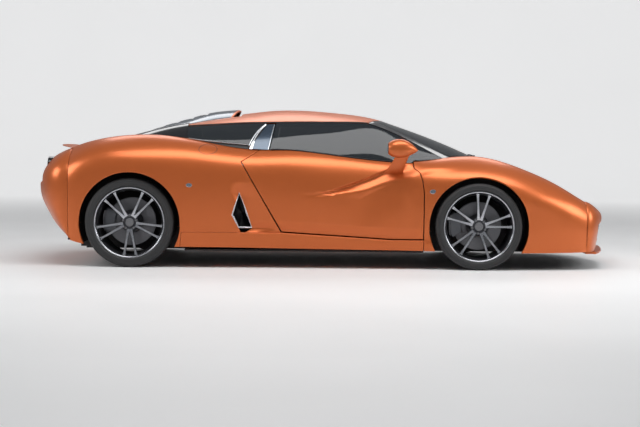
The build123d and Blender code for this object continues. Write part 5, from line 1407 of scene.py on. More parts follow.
def make_sails():
    def bare(s, t):
        """The stretch of the sail above the quarter panel."""
        s, t = np.broadcast_arrays(np.asarray(s, float), np.asarray(t, float))
        over = lambda a: sail(s, a)[..., 2] - top_height(sail(s, a)[..., 0], sail(s, a)[..., 1]) - 1
        start = bisect(over, 0 * s - 0.05, 0 * s + 0.9, 22)
        return sail(s, start + (1 - start) * t)

    mesh = Mesh()
    s, t = np.meshgrid(np.linspace(0.003, 0.997, 46), np.linspace(0.0, 0.997, 26), indexing="ij")
    n = normals(bare, s, t, 0.003, 0.004, SAIL_CORE)
    points = bare(s, t)
    mesh.grid(points, n, 0)
    mesh.grid(points - 11 * n, -n, 1)
    for edge, depth, away in (
        (points[:, -1], n[:, -1], (0, -1, 0)),
        (points[:, 0], n[:, 0], (0, 0, -1)),
        (points[0], n[0], (1, 0, 0)),
        (points[-1], n[-1], (-1, 0, 0)),
    ):
        wall = np.stack([edge, edge - 11 * depth], 1)
        mesh.grid(wall, np.zeros_like(wall) + np.array(away, float), 0)
    sides("sail_panel_{s}_skin", mesh, [M["gloss"], M["under"]], "black_plastic", both="sail_panels")
    ridge = Mesh()
    s = np.linspace(0.0, 0.985, 40)
    path = sail(s, 0 * s + 0.80)
    n = normals(sail, s, 0 * s + 0.80, 0.003, 0.004, SAIL_CORE)
    sweep(ridge, path, np.cross(np.gradient(path, axis=0), n), n, bar(7, 4, 1.8), 0, 1 - 0.55 * s)
    sides("sail_ridge_{s}", ridge, [M["trim"]], "steel", "body")


# ---- tail deck -----------------------------------------------------------------------------------
def deck_edge():
    """The tail cap's upper edge as x and z over y."""
    s = np.linspace(0, 1, 81)
    rim = TAIL(s, 0 * s + 1)
    order = np.argsort(rim[:, 1])
    rim = rim[order]
    return lambda y, k: np.interp(y, rim[:, 1], rim[:, k])


LIP_HALF, LIP_FOOT = 556, 40
DECK_EDGE = deck_edge()
DECK_FRONT = COVER_ROWS[-1][0] - 12


def deck_half(x):
    return skin(x, 4.05)[..., 1] - 5


def deck(s, t):
    s, t = np.broadcast_arrays(np.asarray(s, float), np.asarray(t, float))
    share = 2 * t - 1
    x = 0 * s + DECK_FRONT
    for _ in range(4):
        y = share * deck_half(x)
        x = DECK_FRONT + (DECK_EDGE(y, 0) - DECK_FRONT) * s
    z = top_height(x, y)
    z = z + np.clip(s, 0, 1) ** 3 * (DECK_EDGE(y, 2) - top_height(DECK_EDGE(y, 0), y))
    return np.stack([x, y, z], -1)


def make_deck():
    panel = panel_mesh(deck, (0, 1, 0, 1), [], TAIL_CORE, 14, 2.0, PANEL_T)
    dress(panel.make("tail_deck_skin", PAINT), "body", "paint", "tail_deck")
    y = np.linspace(-LIP_HALF, LIP_HALF, 81)
    size = 0.2 + 0.8 * (1 - np.abs(y / LIP_HALF) ** 4)
    edge = np.stack([DECK_EDGE(y, 0) + LIP_FOOT, y, DECK_EDGE(y, 2)], 1)
    path = edge + (0, 0, 1.2)
    upper = [(-2, 3), (30, 6.5), (70, 11), (110, 17.5), (137, 23), (140, 23.4)]
    section = upper + [(141, 21), (139, 15.5), (110, 9), (70, 2), (30, -3), (-2, -5)]
    lip = Mesh()
    sweep(lip, path, (-1, 0, 0), (0, 0, 1), section, 0, np.stack([size, size], 1))
    dress(lip.make("tail_deck_lip", [M["paint"]]), "body", "paint")


make_side_glass()
make_side_trim()
make_pillar_panels()
make_windscreen()
make_windscreen_pillars()
make_roof()
make_cover()
make_sails()
make_deck()


# ---- nose and tail -------------------------------------------------------------------------------
def turned(mesh, axis, place):
    """The mesh with its Y axis turned to axis, and then moved to place."""
    turn = np.array(Vector((0, 1, 0)).rotation_difference(Vector(axis)).to_matrix())
    mesh.v = [v @ turn.T + place for v in mesh.v]
    mesh.n = [n @ turn.T for n in mesh.n]
    return mesh


def merged(*meshes):
    """All the meshes as one."""
    out = Mesh()
    for mesh in meshes:
        out.join(mesh)
    return out


def cap_line(cap, core, s, t, depth):
    """Points at depth behind a bumper's surface, and its normals there."""
    s, t = np.broadcast_arrays(np.asarray(s, float), np.asarray(t, float))
    n = normals(cap, s, t, 0.002, 0.004, core)
    return cap(s, t) - depth * n, n


def slats(mesh, cap, core, spans, rows, depth, section, clear=()):
    """Bars across an opening at several heights, left out round the (y, z, r) in clear."""
    for t in rows:
        for s0, s1 in spans:
            s = np.linspace(s0, s1, 64)
            path, n = cap_line(cap, core, s, t, depth)
            free = np.ones(len(s), bool)
            for y, z, r in clear:
                free &= np.hypot(np.abs(path[:, 1]) - y, path[:, 2] - z) > r
            edges = np.flatnonzero(np.diff(np.concatenate([[0], free.astype(int), [0]])))
            for a, b in zip(edges[::2], edges[1::2]):
                if b - a > 3:
                    sweep(mesh, path[a:b], n[a:b], (0, 0, 1), section)


def make_front_grilles():
    bars = Mesh()
    spans = ((0.575, 0.855), (0.145, 0.425))
    slats(bars, NOSE, NOSE_CORE, spans, (0.235, 0.285, 0.335, 0.385, 0.435), 26, bar(34, 4.5, 2))
    for s0, s1 in spans:
        for s in np.linspace(s0 + 0.035, s1 - 0.035, 6):
            path, n = cap_line(NOSE, NOSE_CORE, s, np.linspace(0.16, 0.5, 14), 34)
            sweep(bars, path, (0, 1, 0), n, bar(4, 20, 1.8))
    dress(bars.make("front_grille_bars", [M["gloss"]]), "body", "black_plastic")


SPLITTER_TOP = 129.5


def make_splitter():
    """The painted lip under the nose."""
    s = np.linspace(0, 1, 61)
    edge = NOSE(s, 0 * s)
    edge = edge[edge[:, 0] > FRONT_X + 815]
    reach = 88 * (1 - 0.7 * np.abs(edge[:, 1]) / 700)
    line = [(x + r, 0.98 * y) for (x, y, _), r in zip(edge, reach)]
    corner = max(y for _, y in line)
    line = [(FRONT_X + 817, -corner)] + line + [(FRONT_X + 817, corner)]
    top = lambda x, y: np.stack([x, y, SPLITTER_TOP + 0 * x], -1)
    dom = (FRONT_X + 800, FRONT_X + 1046, -700, 700)
    lip = panel_mesh(top, dom, [("xy", line, True)], (2000, 0, 0), 12, 3.5, 15)
    dress(lip.make("front_splitter_skin", [M["paint"], M["black"]]), "body", "paint", "front_splitter")


def make_headlamps():
    lens = panel_mesh(skin, (1660, 1960, CREST - 0.4, 5.4), [("xy", HEADLAMP, True)], CORE, 8, 1.4, 4)
    outline = dense(np.array(HEADLAMP, float), 8)
    middle = outline.mean(0)
    levels = (
        *((1.0, 5, 1.0), (0.985, 22, 0.6), (0.96, 40, 0.5)),
        *((0.9, 50, 0.3), (0.6, 54, 0.0), (0.02, 55, 0.0)),
    )
    rings = []
    for size, depth, _ in levels:
        spot = middle + (outline - middle) * size
        rings.append(np.column_stack([spot, top_height(spot[:, 0], spot[:, 1]) - depth]))
    rings = np.array(rings)
    n = np.cross(np.gradient(rings, axis=0), around(rings, 1))
    middle_3d = np.append(middle, float(top_height(*middle)) - 10)
    bucket = Mesh()
    bucket.grid(rings, outward(n, middle_3d - rings), 0, wrap_v=True)
    lamps = []
    for x, y, r in ((1868, 545, 31), (1800, 566, 29), (1738, 585, 22)):
        z = float(top_height(x, y)) - 34
        profile = [(-22, r + 2), (-4, r + 3), (0, r + 1), (-2, r - 1.5), (-12, r - 4), (-16, r - 7)]
        ring = Mesh()
        lathe(ring, profile, 48, 1, 30)
        angles = np.linspace(math.pi / 2, 0, 10)
        dome = [(-16 + 15 * math.cos(a), (r - 7) * math.sin(a) + 0.01) for a in angles]
        lathe(ring, dome, 48, 2, 60)
        lamps.append(turned(ring, (0.80, 0.15, 0.58), (x, y, z)))
    line = outline[(outline[:, 1] > 560) | (outline[:, 0] > 1900)]
    line = line[np.argsort(np.arctan2(line[:, 1] - middle[1], line[:, 0] - middle[0]))]
    line = middle + (line - middle) * 0.93
    path = np.column_stack([line, top_height(line[:, 0], line[:, 1]) - 20])
    sweep(bucket, path, np.column_stack([middle - line, 0 * line[:, 0]]), (0, 0, 1), bar(9, 7, 3), 3)
    looks = [M["gloss"], M["reflector"], M["bulb"], M["white_lens"]]
    sides("headlamp_{s}_lens", lens, [M["lens"], M["lens"]], "lens", both="headlamps")
    sides("headlamp_{s}_inside", merged(bucket, *lamps), looks, "lens")


def make_tail_lamps():
    """Two round lamps a side: a dark cup, a red ring and a red dome, with bright rings between."""
    pair = Mesh()
    for y, z, x in TAIL_LAMPS:
        lamp = Mesh()
        lathe(lamp, [(-75, 0.01), (-75, 60), (-8, 63.6), (-2, 63.6), (0, 61), (0, 58), (-4, 55)], 72, 0, 30)
        lathe(lamp, [(-4, 55), (-9, 54), (-10, 51)], 72, 1, 30)
        ring = [(-10 + 8 * math.cos(a), 51 - 12 + 12 * math.sin(a)) for a in np.linspace(1.5, -1.5, 12)]
        lathe(lamp, ring, 72, 2, 80)
        lathe(lamp, [(-12, 28), (-16, 26), (-16, 22), (-10, 20)], 72, 1, 30)
        dome = [(-14 + 10 * math.cos(a), 20 * math.sin(a) + 0.01) for a in np.linspace(math.pi / 2, 0, 9)]
        lathe(lamp, dome, 72, 2, 80)
        pair.join(turned(lamp, (-1, 0, 0), (x, y, z)))
    looks = [M["gloss"], M["reflector"], M["red"]]
    sides("tail_lamps_{s}_round", pair, looks, "red_lens", both="tail_lamps")


def make_tail():
    bars = Mesh()
    clear = [(y, z, 76) for y, z, _ in TAIL_LAMPS]
    rows = (0.672, 0.703, 0.735, 0.767, 0.8, 0.832)
    slats(bars, TAIL, TAIL_CORE, ((0.105, 0.895),), rows, 26, bar(30, 5, 2), clear)
    dress(bars.make("rear_grille_bars", [M["gloss"]]), "body", "black_plastic")

    tips = Mesh()
    profile = [(-60, 33), (-6, 33.5), (0, 36), (1.5, 39.5), (0, 42.5), (-6, 43.2), (-60, 42)]
    lathe(tips, profile, 64, 0, 40)
    lathe(tips, [(-110, 0.01), (-110, 33), (-60, 33)], 64, 1, 30)
    sides("exhaust_tip_{s}", turned(tips, (-1, 0, 0), EXHAUST_AT), [M["trim"], M["black"]], "steel")


make_front_grilles()
make_splitter()
make_headlamps()
make_tail_lamps()
make_tail()


# ---- cabin ---------------------------------------------------------------------------------------
BULKHEAD_X, TOE_X = FRONT_X - 1605, 742
SEAT_Y = 380
STEERING_AT, STEERING_RAKE = (FRONT_X - 839, SEAT_Y, 668), -66


def pad_size(s, width, thick, length):
    """A pad's half width and thickness at s, and how full it is there, from its ends (0) inwards (1)."""
    half, t = (np.interp(s, np.linspace(0, 1, len(a)), a) for a in (width, thick))
    near = np.minimum(s, 1 - s) * length
    full = np.sqrt(np.maximum(1 - (1 - np.minimum(near / (0.95 * t), 1)) ** 2, 1e-4))
    return half - (1 - full) * 0.55 * t, t, full


def crown(u):
    """How a pad's front falls off from its middle (u = 0) to its sides (u = -1 and 1)."""
    return (1 - np.abs(u) ** 3.4) ** (1 / 3.4)


def pad(line, width, thick, detail, rows=70, count=61):
    """A crowned closed pad along an (x, z) line; detail(s, u) raises its front."""
    line = np.asarray(line, float)
    curve = Curve(np.linspace(0, 1, len(line)), line)
    s = 0.5 - 0.5 * np.cos(np.linspace(0, math.pi, rows))
    path = curve(s)
    length = np.linalg.norm(np.diff(curve(np.linspace(0, 1, 60)), axis=0), axis=1).sum()
    ahead = unit(np.gradient(path, axis=0))
    face = np.stack([ahead[:, 1], -ahead[:, 0]], 1)
    half, t, k = pad_size(s, width, thick, length)
    u = np.sin(np.linspace(-math.pi / 2, math.pi / 2, count))
    plain = crown(u) * (k * t)[:, None]
    front = plain + detail(s[:, None], u) * crown(u) * k[:, None]
    back = -plain[:, ::-1][:, 1:-1]
    lift = np.concatenate([front, back], 1)
    y = np.concatenate([u, u[::-1][1:-1]]) * half[:, None]
    points = np.stack([path[:, :1] + face[:, :1] * lift, y, path[:, 1:] + face[:, 1:] * lift], -1)
    n = np.cross(around(points, 1), np.gradient(points, axis=0))
    mesh = Mesh()
    mesh.grid(points, outward(n, points - points.mean(1, keepdims=True)), 0, wrap_v=True)
    for row, away in ((points[0], -ahead[0]), (points[-1], ahead[-1])):
        start = mesh.add(row.copy(), np.zeros_like(row) + (away[0], 0, away[1]))
        mesh.faces([range(start, start + len(row))], 0)
    surface = lambda s, u: bead_at(curve, s, u, width, thick, detail, length)
    return mesh, surface


def bead_at(curve, s, u, width, thick, detail, length):
    """Points on a pad's front face."""
    s, u = np.broadcast_arrays(np.asarray(s, float), np.asarray(u, float))
    path = curve(s)
    ahead = unit(curve(s + 0.003) - curve(s - 0.003))
    half, t, k = pad_size(s, width, thick, length)
    lift = (t + detail(s, u)) * crown(u) * k
    return np.stack([path[..., 0] + ahead[..., 1] * lift, u * half, path[..., 1] - ahead[..., 0] * lift], -1)


def cushion_detail(s, u):
    inner = 11 * (1 - np.minimum(np.abs(u) / 0.58, 1) ** 2)
    channel = -7 * np.exp(-(((s * 5.5 + 0.5) % 1.0 - 0.5) / 0.085) ** 2) * smooth(0.56, 0.5, np.abs(u))
    seam = -9 * np.exp(-(((np.abs(u) - 0.6) / 0.028) ** 2))
    bolster = 20 * smooth(0.6, 0.82, np.abs(u)) * smooth(1.0, 0.75, s)
    return inner + channel * smooth(0.9, 0.84, s) + seam + bolster


def back_detail(s, u):
    low = smooth(0.79, 0.74, s)
    inner = 9 * (1 - np.minimum(np.abs(u) / 0.58, 1) ** 2)
    channel = -6 * np.exp(-(((s * 9.5 + 0.5) % 1.0 - 0.5) / 0.11) ** 2) * smooth(0.56, 0.5, np.abs(u)) * low
    seam = -9 * np.exp(-(((np.abs(u) - 0.6) / 0.028) ** 2)) * low
    across = -11 * np.exp(-(((s - 0.8) / 0.012) ** 2))
    lumbar = 10 * np.exp(-(((s - 0.25) / 0.16) ** 2)) * smooth(0.6, 0.3, np.abs(u))
    bolster = 26 * smooth(0.62, 0.85, np.abs(u)) * low * smooth(0.0, 0.12, s)
    return inner + channel + seam + across + lumbar + bolster


def make_seats():
    at = lambda points: [(BULKHEAD_X + a, z) for a, z in points]
    line = at(((330, 232), (450, 226), (600, 232), (720, 248), (806, 258)))
    base, base_face = pad(line, (205, 222, 224, 222, 214), (54, 56, 56, 54, 40), cushion_detail)
    lower = ((398, 232), (352, 345), (304, 452), (258, 556))
    upper = ((214, 660), (176, 760), (142, 850), (120, 925))
    spine = at(lower + upper)
    wide = (206, 222, 226, 222, 205, 168, 132, 124)
    back, back_face = pad(spine, wide, (52, 54, 52, 50, 48, 44, 42, 36), back_detail, 90)
    plain = lambda s, u: 0 * s + 0 * u
    behind, wider = [(x - 52, z - 26) for x, z in spine], [w + 6 for w in wide]
    shell, _ = pad(behind, wider, (22, 26, 26, 24, 22, 20, 20, 16), plain, 60, 41)
    skirt, _ = pad(at(((380, 182), (560, 180), (795, 186))), (226, 230, 224), (28, 30, 26), plain, 40, 41)
    piping = Mesh()
    for face, s0, s1 in ((base_face, 0.12, 0.97), (back_face, 0.06, 0.77)):
        s = np.linspace(s0, s1, 60)
        for sign in (-1, 1):
            path = face(s, 0 * s + 0.64 * sign)
            sweep(piping, path, (0, 1, 0), np.cross(np.gradient(path, axis=0), (0, 1, 0)), oval(6, 6, 8))
    stitches = Mesh()
    for u0 in (-0.5, 0.5):
        s = np.linspace(0.1, 0.88, 90)
        for a, b in zip(s[::2], s[1::2]):
            path = base_face(np.array([a, b]), u0) + (0, 0, 0.6)
            sweep(stitches, path, (0, 1, 0), (0, 0, 1), oval(1.8, 1.6, 6))
    pieces = (
        ("seat_cushion", base, M["leather"], "leather", 0.8),
        ("seat_back", back, M["leather"], "leather", 0.8),
        ("seat_shell", shell, M["gloss"], "black_plastic", None),
        ("seat_skirt", skirt, M["black"], "black_plastic", None),
        ("seat_piping", piping, M["suede"], "leather", None),
        ("seat_stitches", stitches, M["suede"], "leather", None),
    )
    for side_sign, s_name in ((1, "left"), (-1, "right")):
        for name, mesh, material, slot, fill in pieces:
            obj = placed(merged(mesh), 0, side_sign * SEAT_Y, 0).make(f"{name}_{s_name}", [material])
            dress(obj, "body", slot, *(["seats"] if name == "seat_cushion" and side_sign == 1 else []))


DASH = (  # how far back from the screen, height
    *((2, 700), (6, 742), (30, 757), (130, 764), (235, 757), (296, 740)),
    *((332, 712), (344, 684), (340, 640), (330, 580), (306, 542), (262, 528)),
)


def dash_face(y, t):
    """The dashboard's face, from the screen (t = 0) to the knees (t = 1), with a hood over the dials."""
    y, t = np.broadcast_arrays(np.asarray(y, float), np.asarray(t, float))
    rows = Curve(np.linspace(0, 1, len(DASH)), DASH)(t)
    over = smooth(190, 120, np.abs(y - SEAT_Y)) * smooth(0.24, 0.42, t) * smooth(0.72, 0.56, t)
    middle = smooth(150, 90, np.abs(y)) * smooth(0.45, 0.62, t)
    end = smooth(600, 640, np.abs(y))
    x = TOE_X - 12 - rows[..., 0] - 16 * over - 12 * middle + 30 * end
    return np.stack([x, y, rows[..., 1] + 24 * over - 10 * end], -1)


def make_dashboard():
    y, t = np.meshgrid(np.linspace(-616, 616, 141), np.linspace(0, 1, 60), indexing="ij")
    points = dash_face(y, t)
    mesh = Mesh()
    core = (TOE_X - 160, 0, 600)
    n = normals(dash_face, y, t, 3, 0.01, core)
    mesh.grid(points, outward(n, (points - core) * (1, 0, 1)), 0)
    for edge, away in ((points[0], (0, -1, 0)), (points[-1], (0, 1, 0))):
        back = np.array([(TOE_X - 14, edge[0, 1], 540)])
        loop = np.vstack([edge, back])
        start = mesh.add(loop, np.zeros_like(loop) + away)
        mesh.faces([range(start, start + len(loop))], 0)
    low = np.stack([points[:, -1], points[:, -1] * (0, 1, 1) + (TOE_X - 14, 0, 0)], 1)
    mesh.grid(low, np.zeros_like(low) + (0, 0, -1.0), 0)
    dress(mesh.make("dashboard_skin", [M["leather"]]), "body", "leather", "dashboard")

    details = Mesh()
    for y0 in (-520, -150, 150, 590):
        vent = Mesh()
        lathe(vent, [(-8, 24), (4, 38), (8, 40), (9, 36), (2, 30), (-6, 28)], 40, 0, 30)
        lathe(vent, [(-4, 28), (-4, 0.01)], 40, 1, 30)
        for dz in (-16, -5, 6, 17):
            blade = [(-27 + abs(dz) / 3, 2, dz), (27 - abs(dz) / 3, 2, dz)]
            sweep(vent, blade, (0, 1, 0), (0, 0, 1), bar(10, 2.4, 1), 1)
        spot = dash_face(min(y0, 560), 0.66)
        details = merged(details, turned(vent, (-1, 0, 0.12), spot + (-2, 0, 0)))
    for y0, t0, wide, tall in ((SEAT_Y, 0.60, 112, 40), (0, 0.70, 88, 50)):
        spot = dash_face(y0, t0)
        face = [(spot[0] - 5, y0 - wide, spot[2]), (spot[0] - 5, y0 + wide, spot[2])]
        sweep(details, face, (0, 0, 1), (-1, 0, 0), bar(2 * tall, 8, 3), 2)
    s = np.linspace(-600, 600, 90)
    sweep(details, dash_face(s, 0.48) + (-0.5, 0, 0.5), (0, 0, 1), (-1, 0, 0), oval(3, 3, 8), 3)
    looks = [M["trim"], M["black"], M["gloss"], M["suede"]]
    dress(details.make("dashboard_details", looks), "body", "black_plastic")


def make_console():
    hollow = lambda s, u: -3 * (1 - np.minimum(np.abs(u) / 0.7, 1) ** 2)
    line = [(TOE_X - back, z) for back, z in ((330, 554), (410, 464), (520, 430), (760, 418), (1010, 430))]
    line.append((BULKHEAD_X + 60, 464))
    console, _ = pad(line, (104, 108, 106, 104, 104, 104), (24, 26, 26, 26, 28, 26), hollow, 60, 41)
    obj = console.make("centre_console_pad", [M["leather"]])
    dress(obj, "body", "leather")
    knobs = Mesh()
    for x, r in ((TOE_X - 560, 26), (TOE_X - 640, 18)):
        knob = Mesh()
        lathe(knob, [(-6, r + 6), (2, r + 5), (4, r), (16, r - 2), (20, r - 5), (21, 0.01)], 36, 0, 30)
        knobs = merged(knobs, turned(knob, (0, 0, 1), (x, 0, 454)))
    dress(knobs.make("console_knobs", [M["trim"]]), "body", "steel")


def make_steering_wheel():
    rim = Mesh()
    turn, section = np.meshgrid(turns(120), turns(20), indexing="ij")
    flat = 1 - 0.1 * smooth(-0.80, -0.98, np.sin(turn))
    r = 172 * flat + 14 * np.cos(section)
    points = np.stack([r * np.sin(turn), r * np.cos(turn), 13 * np.sin(section)], -1)
    n = np.stack([np.cos(section) * np.sin(turn), np.cos(section) * np.cos(turn), np.sin(section)], -1)
    rim.grid(points, n, 0, wrap_u=True, wrap_v=True)
    for angle in (0.12, math.pi - 0.12, 1.5 * math.pi):
        c, s = math.sin(angle), math.cos(angle)
        line = [(c * r, s * r, 3 - 8 * (r - 165) ** 2 / 19000) for r in np.linspace(30, 164, 12)]
        size = np.interp(np.linspace(0, 1, 12), (0, 0.6, 1), (1.0, 0.7, 0.8))
        sweep(rim, line, (-s, c, 0), (0, 0, 1), bar(34, 10, 4), 1, size)
    hub = Mesh()
    lathe(hub, [(-15, 30), (-6, 44), (6, 46), (13, 42), (16, 34), (17, 0.01)], 64, 0, 40)
    lathe(hub, [(-60, 19), (-15, 20), (-12, 30)], 40, 1, 30)
    turned(hub, (0, 0, 1), (0, 0, 0))
    mesh = merged(rim, hub)
    turn = np.array(Matrix.Rotation(math.radians(STEERING_RAKE), 3, "Y"))
    mesh.v = [v @ turn.T + STEERING_AT for v in mesh.v]
    mesh.n = [n @ turn.T for n in mesh.n]
    wheel = mesh.make("steering_wheel_rim", [M["leather"], M["dark_metal"]])
    dress(wheel, "steering_wheel", "leather", "steering_wheel")


def make_door_cards():
    inner = DOOR_INNER_Y + 1.5
    top = 748

    def face(x, z):
        x, z = np.broadcast_arrays(np.asarray(x, float), np.asarray(z, float))
        rest = 18 * smooth(455, 500, z) * smooth(570, 530, z) * smooth(-300, -200, x) * smooth(420, 300, x)
        pocket = 5 * smooth(300, 330, z) * smooth(430, 400, z) * smooth(-120, -80, x) * smooth(480, 440, x)
        upper = 5 * smooth(590, 620, z)
        return np.stack([x, inner - 7 - rest + pocket - upper, z], -1)

    outline = [(-330, 290), (-395, 560), (-420, 700), (-420, top)]
    outline += [(560, top), (575, 640), (575, 270), (180, 262)]
    card = panel_mesh(face, (-440, 600, 240, 770), [("xz", outline, True)], (0, 3000, 500), 14, 3, 8)
    sides("door_card_{s}", card, [M["leather"], M["under"]], "leather", "door_{s}")
    bits = Mesh()
    line = [(x, inner - 30 - 6 * math.sin((x + 40) / 220 * math.pi), 590) for x in np.linspace(-40, 180, 20)]
    sweep(bits, line, (0, 0, 1), (0, -1, 0), oval(14, 12, 12))
    for x in (-40, 180):
        sweep(bits, [(x, inner - 12, 590), (x, inner - 31, 590)], (1, 0, 0), (0, 0, 1), oval(16, 14, 12))
    ring = Mesh()
    lathe(ring, [(-4, 66), (3, 68), (5, 64), (2, 60)], 48, 0, 30)
    lathe(ring, [(2, 60), (4, 40), (5, 0.01)], 48, 1, 30)
    bits = merged(bits, turned(ring, (0, -1, 0), (380, inner - 11, 365)))
    sides("door_card_{s}_trim", bits, [M["trim"], M["black"]], "steel", "door_{s}")


def make_engine():
    """Covers, runners and a plenum on the plain engine block."""
    low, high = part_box("engine")
    x0, x1, top = low.x * 1000 + 30, high.x * 1000 - 20, high.z * 1000
    mesh = Mesh()
    for sign in (1, -1):
        line = [(x, sign * 205, top - 8) for x in np.linspace(x0, x1, 12)]
        section = [(-78, -60), (-80, 30), (-60, 52), (0, 60), (60, 40), (78, 10), (80, -60)]
        sweep(mesh, line, (0, sign, 0.35), (0, -0.35 * sign, 1), section, 0)
        for k in range(5):
            x = x0 + 70 + k * (x1 - x0 - 140) / 4
            a = np.linspace(0, 1, 12)
            z = top + 66 + 34 * np.sin(math.pi * (0.35 + 0.65 * a)) - 30 * a
            runner = np.stack([0 * a + x, sign * (45 + 120 * a), z], 1)
            sweep(mesh, runner, (1, 0, 0), (0, 0, 1), oval(44, 40, 16), 1)
    line = [(x, 0, top + 74) for x in np.linspace(x0 + 20, x1 - 30, 20)]
    size = np.interp(np.linspace(0, 1, 20), (0, 0.08, 0.9, 1), (0.75, 1, 1, 0.7))
    sweep(mesh, line, (0, 1, 0), (0, 0, 1), oval(132, 72, 28), 2, size)
    dress(mesh.make("engine_top_parts", [M["gloss"], M["cast"], M["dark_metal"]]), "body", "engine")


make_seats()
make_dashboard()
make_console()
make_steering_wheel()
make_door_cards()
make_engine()


# ---- mirrors, wipers and small parts -------------------------------------------------------------
MIRROR_AT, MIRROR_SIZE = (560, 985, 888), (115, 62, 68)
WALL_FOOT, WALL_Y = 566, 520.0


def make_mirrors():
    """A teardrop shell with a split line, its glass facing back, on a blade."""
    shell = Mesh()
    a, b = np.meshgrid(np.linspace(0.0, math.pi, 49), turns(72), indexing="ij")

    def skin_at(a, b):
        along_x = -np.cos(a)
        front = np.clip((along_x + 0.15) / 1.15, 0, 1)
        behind = (1 - np.clip(-(along_x + 0.15) / 0.85, 0, 1) ** 2.3) ** 0.5
        r = np.where(along_x < -0.15, behind, np.cos(front * math.pi / 2) ** 0.85)
        y = r * np.cos(b)
        z = r * np.sin(b) - 0.10 * (along_x + 1) * (1 - r)
        flat = np.maximum(along_x, -0.88)
        return np.stack([flat, y, z], -1)

    points = skin_at(a, b)
    line = np.exp(-((np.sin(b) * 9) ** 2)) * np.where(np.cos(b) > 0, 1, 0.6)
    groove = 1 - 0.022 * line * smooth(0.1, 0.6, np.sin(a))
    points = points * np.stack([0 * groove + 1, groove, groove], -1) * MIRROR_SIZE
    n = np.cross(np.gradient(points, axis=0), around(points, 1))
    shell.grid(points, outward(n, points + (20, 0, 0)), 0, wrap_v=True)
    rim = points[np.argmax(a[:, 0] > 0.50)]
    shell = placed(shell, *MIRROR_AT)
    sides("mirror_{s}_shell", shell, [M["paint"]], "paint", "door_{s}", ["mirror_{s}"])
    glass = Mesh()
    back = -0.88 * MIRROR_SIZE[0]
    rows = []
    for size, x in ((0.86, back - 0.6), (0.82, back - 1.6), (0.5, back - 2.4), (0.01, back - 2.6)):
        rows.append([(x, size * p[1], size * p[2]) for p in rim])
    rows = np.array(rows) + MIRROR_AT
    glass.grid(rows, np.zeros_like(rows) + (-1, 0, 0), 0, wrap_v=True)
    frame_line = np.vstack([rim, rim[:2]]) * (0, 0.9, 0.9) + (back - 0.6, 0, 0) + MIRROR_AT
    sweep(glass, frame_line, (-1, 0, 0), unit(frame_line - frame_line.mean(0)), bar(4, 5, 1.6), 1, caps=False)
    sides("mirror_{s}_glass", glass, [M["mirror"], M["black"]], "glass", "door_{s}")
    stalk = Mesh()
    k = np.linspace(0, 1, 22)
    spine = np.stack([MIRROR_AT[0] - 58 + 66 * k, 858 + 100 * k**1.15, 700 + 142 * k], 1)
    foot = on_skin(spine[:1, 0], 700)
    spine += (foot - spine[0]) * (1 - k[:, None]) ** 2
    spine[:, 1] -= 10 * (1 - k)
    width = np.interp(k, (0, 0.5, 1), (1.5, 1.1, 1.0))
    sweep(stalk, spine, (1, 0, 0), (0, 0.82, -0.57), oval(96, 15, 28), 0, np.stack([width, 0 * k + 1], 1))
    sides("mirror_{s}_stalk", stalk, [M["paint"]], "paint", "door_{s}")


def on_skin(x, z):
    """The point of the body's side at x, z."""
    x = np.asarray(x, float)
    v = bisect(lambda v: skin(x, v)[..., 2] - z, 0 * x + LOW, 0 * x + CREST)
    return side(x, v)


def make_wipers():
    mesh = Mesh()
    for y0, reach in ((330, 560), (-120, 470)):  # y of the pivot, length of the blade
        t = np.linspace(0, 1, 30)
        down, across = 0.955 - 0.07 * t, 0.5 + (y0 - reach * t) / SCREEN_BASE
        path = windscreen(down, across)
        n = normals(windscreen, down, across, 0.002, 0.002, SCREEN_CORE)
        sweep(mesh, path + 10 * n, n, np.cross(np.gradient(path, axis=0), n), bar(10, 6, 2), 0)
        arm = np.linspace(0, 0.62, 16)
        foot = windscreen(0.992 - 0.085 * arm, 0.5 + (y0 + 40 - reach * arm) / SCREEN_BASE)
        sweep(mesh, foot + (0, 0, 19), (0, 0, 1), (1, 0, 0), bar(8, 14, 2), 0)
        pivot = Mesh()
        lathe(pivot, [(-24, 15), (2, 15), (8, 12), (10, 0.01)], 32, 0, 30)
        mesh = merged(mesh, turned(pivot, (0.3, 0, 0.95), foot[0] + (0, 0, 16)))
    dress(mesh.make("wipers", [M["black"]]), "body", "black_plastic")
    vents = Mesh()
    for k in range(7):
        y = np.linspace(-540, 540, 60)
        x = FRONT_X - 180 - 250 * (y / 650) ** 2 + 0 * y
        x = x + (hood_rear(y) - x) * (k + 0.5) / 8
        sweep(vents, np.stack([x, y, top_height(x, y) - 33.5], 1), (1, 0, 0), (0, 0, 1), bar(5, 4, 1.5))
    dress(vents.make("cowl_slats", [M["gloss"]]), "body", "black_plastic")


def make_intake():
    """A bright rim round the opening in the quarter panel and a dark duct behind it."""
    outline = dense(np.array(INTAKE, float), 8)
    path = on_skin_all(outline)
    middle = path.mean(0)
    inward = unit(middle - path)
    mesh = Mesh()
    closed = np.vstack([path, path[:2]])
    into = np.vstack([inward, inward[:2]])
    sweep(mesh, closed + 4 * into + (0, -4, 0), into, (0, 1, 0), bar(11, 13, 3), caps=False)
    depth = []
    for size, y in ((0.98, -6), (0.95, -40), (0.9, -110), (0.1, -120)):
        depth.append(middle + (path - middle) * (size, 1, size) + (0, y, 0))
    depth = np.array(depth)
    n = np.cross(np.gradient(depth, axis=0), around(depth, 1))
    mesh.grid(depth, outward(n, middle - (0, 60, 0) - depth), 1, wrap_v=True)
    sides("side_intake_{s}", mesh, [M["trim"], M["black"]], "steel", "body")


def on_skin_all(points):
    return np.array([on_skin(np.array([x]), z)[0] for x, z in points])


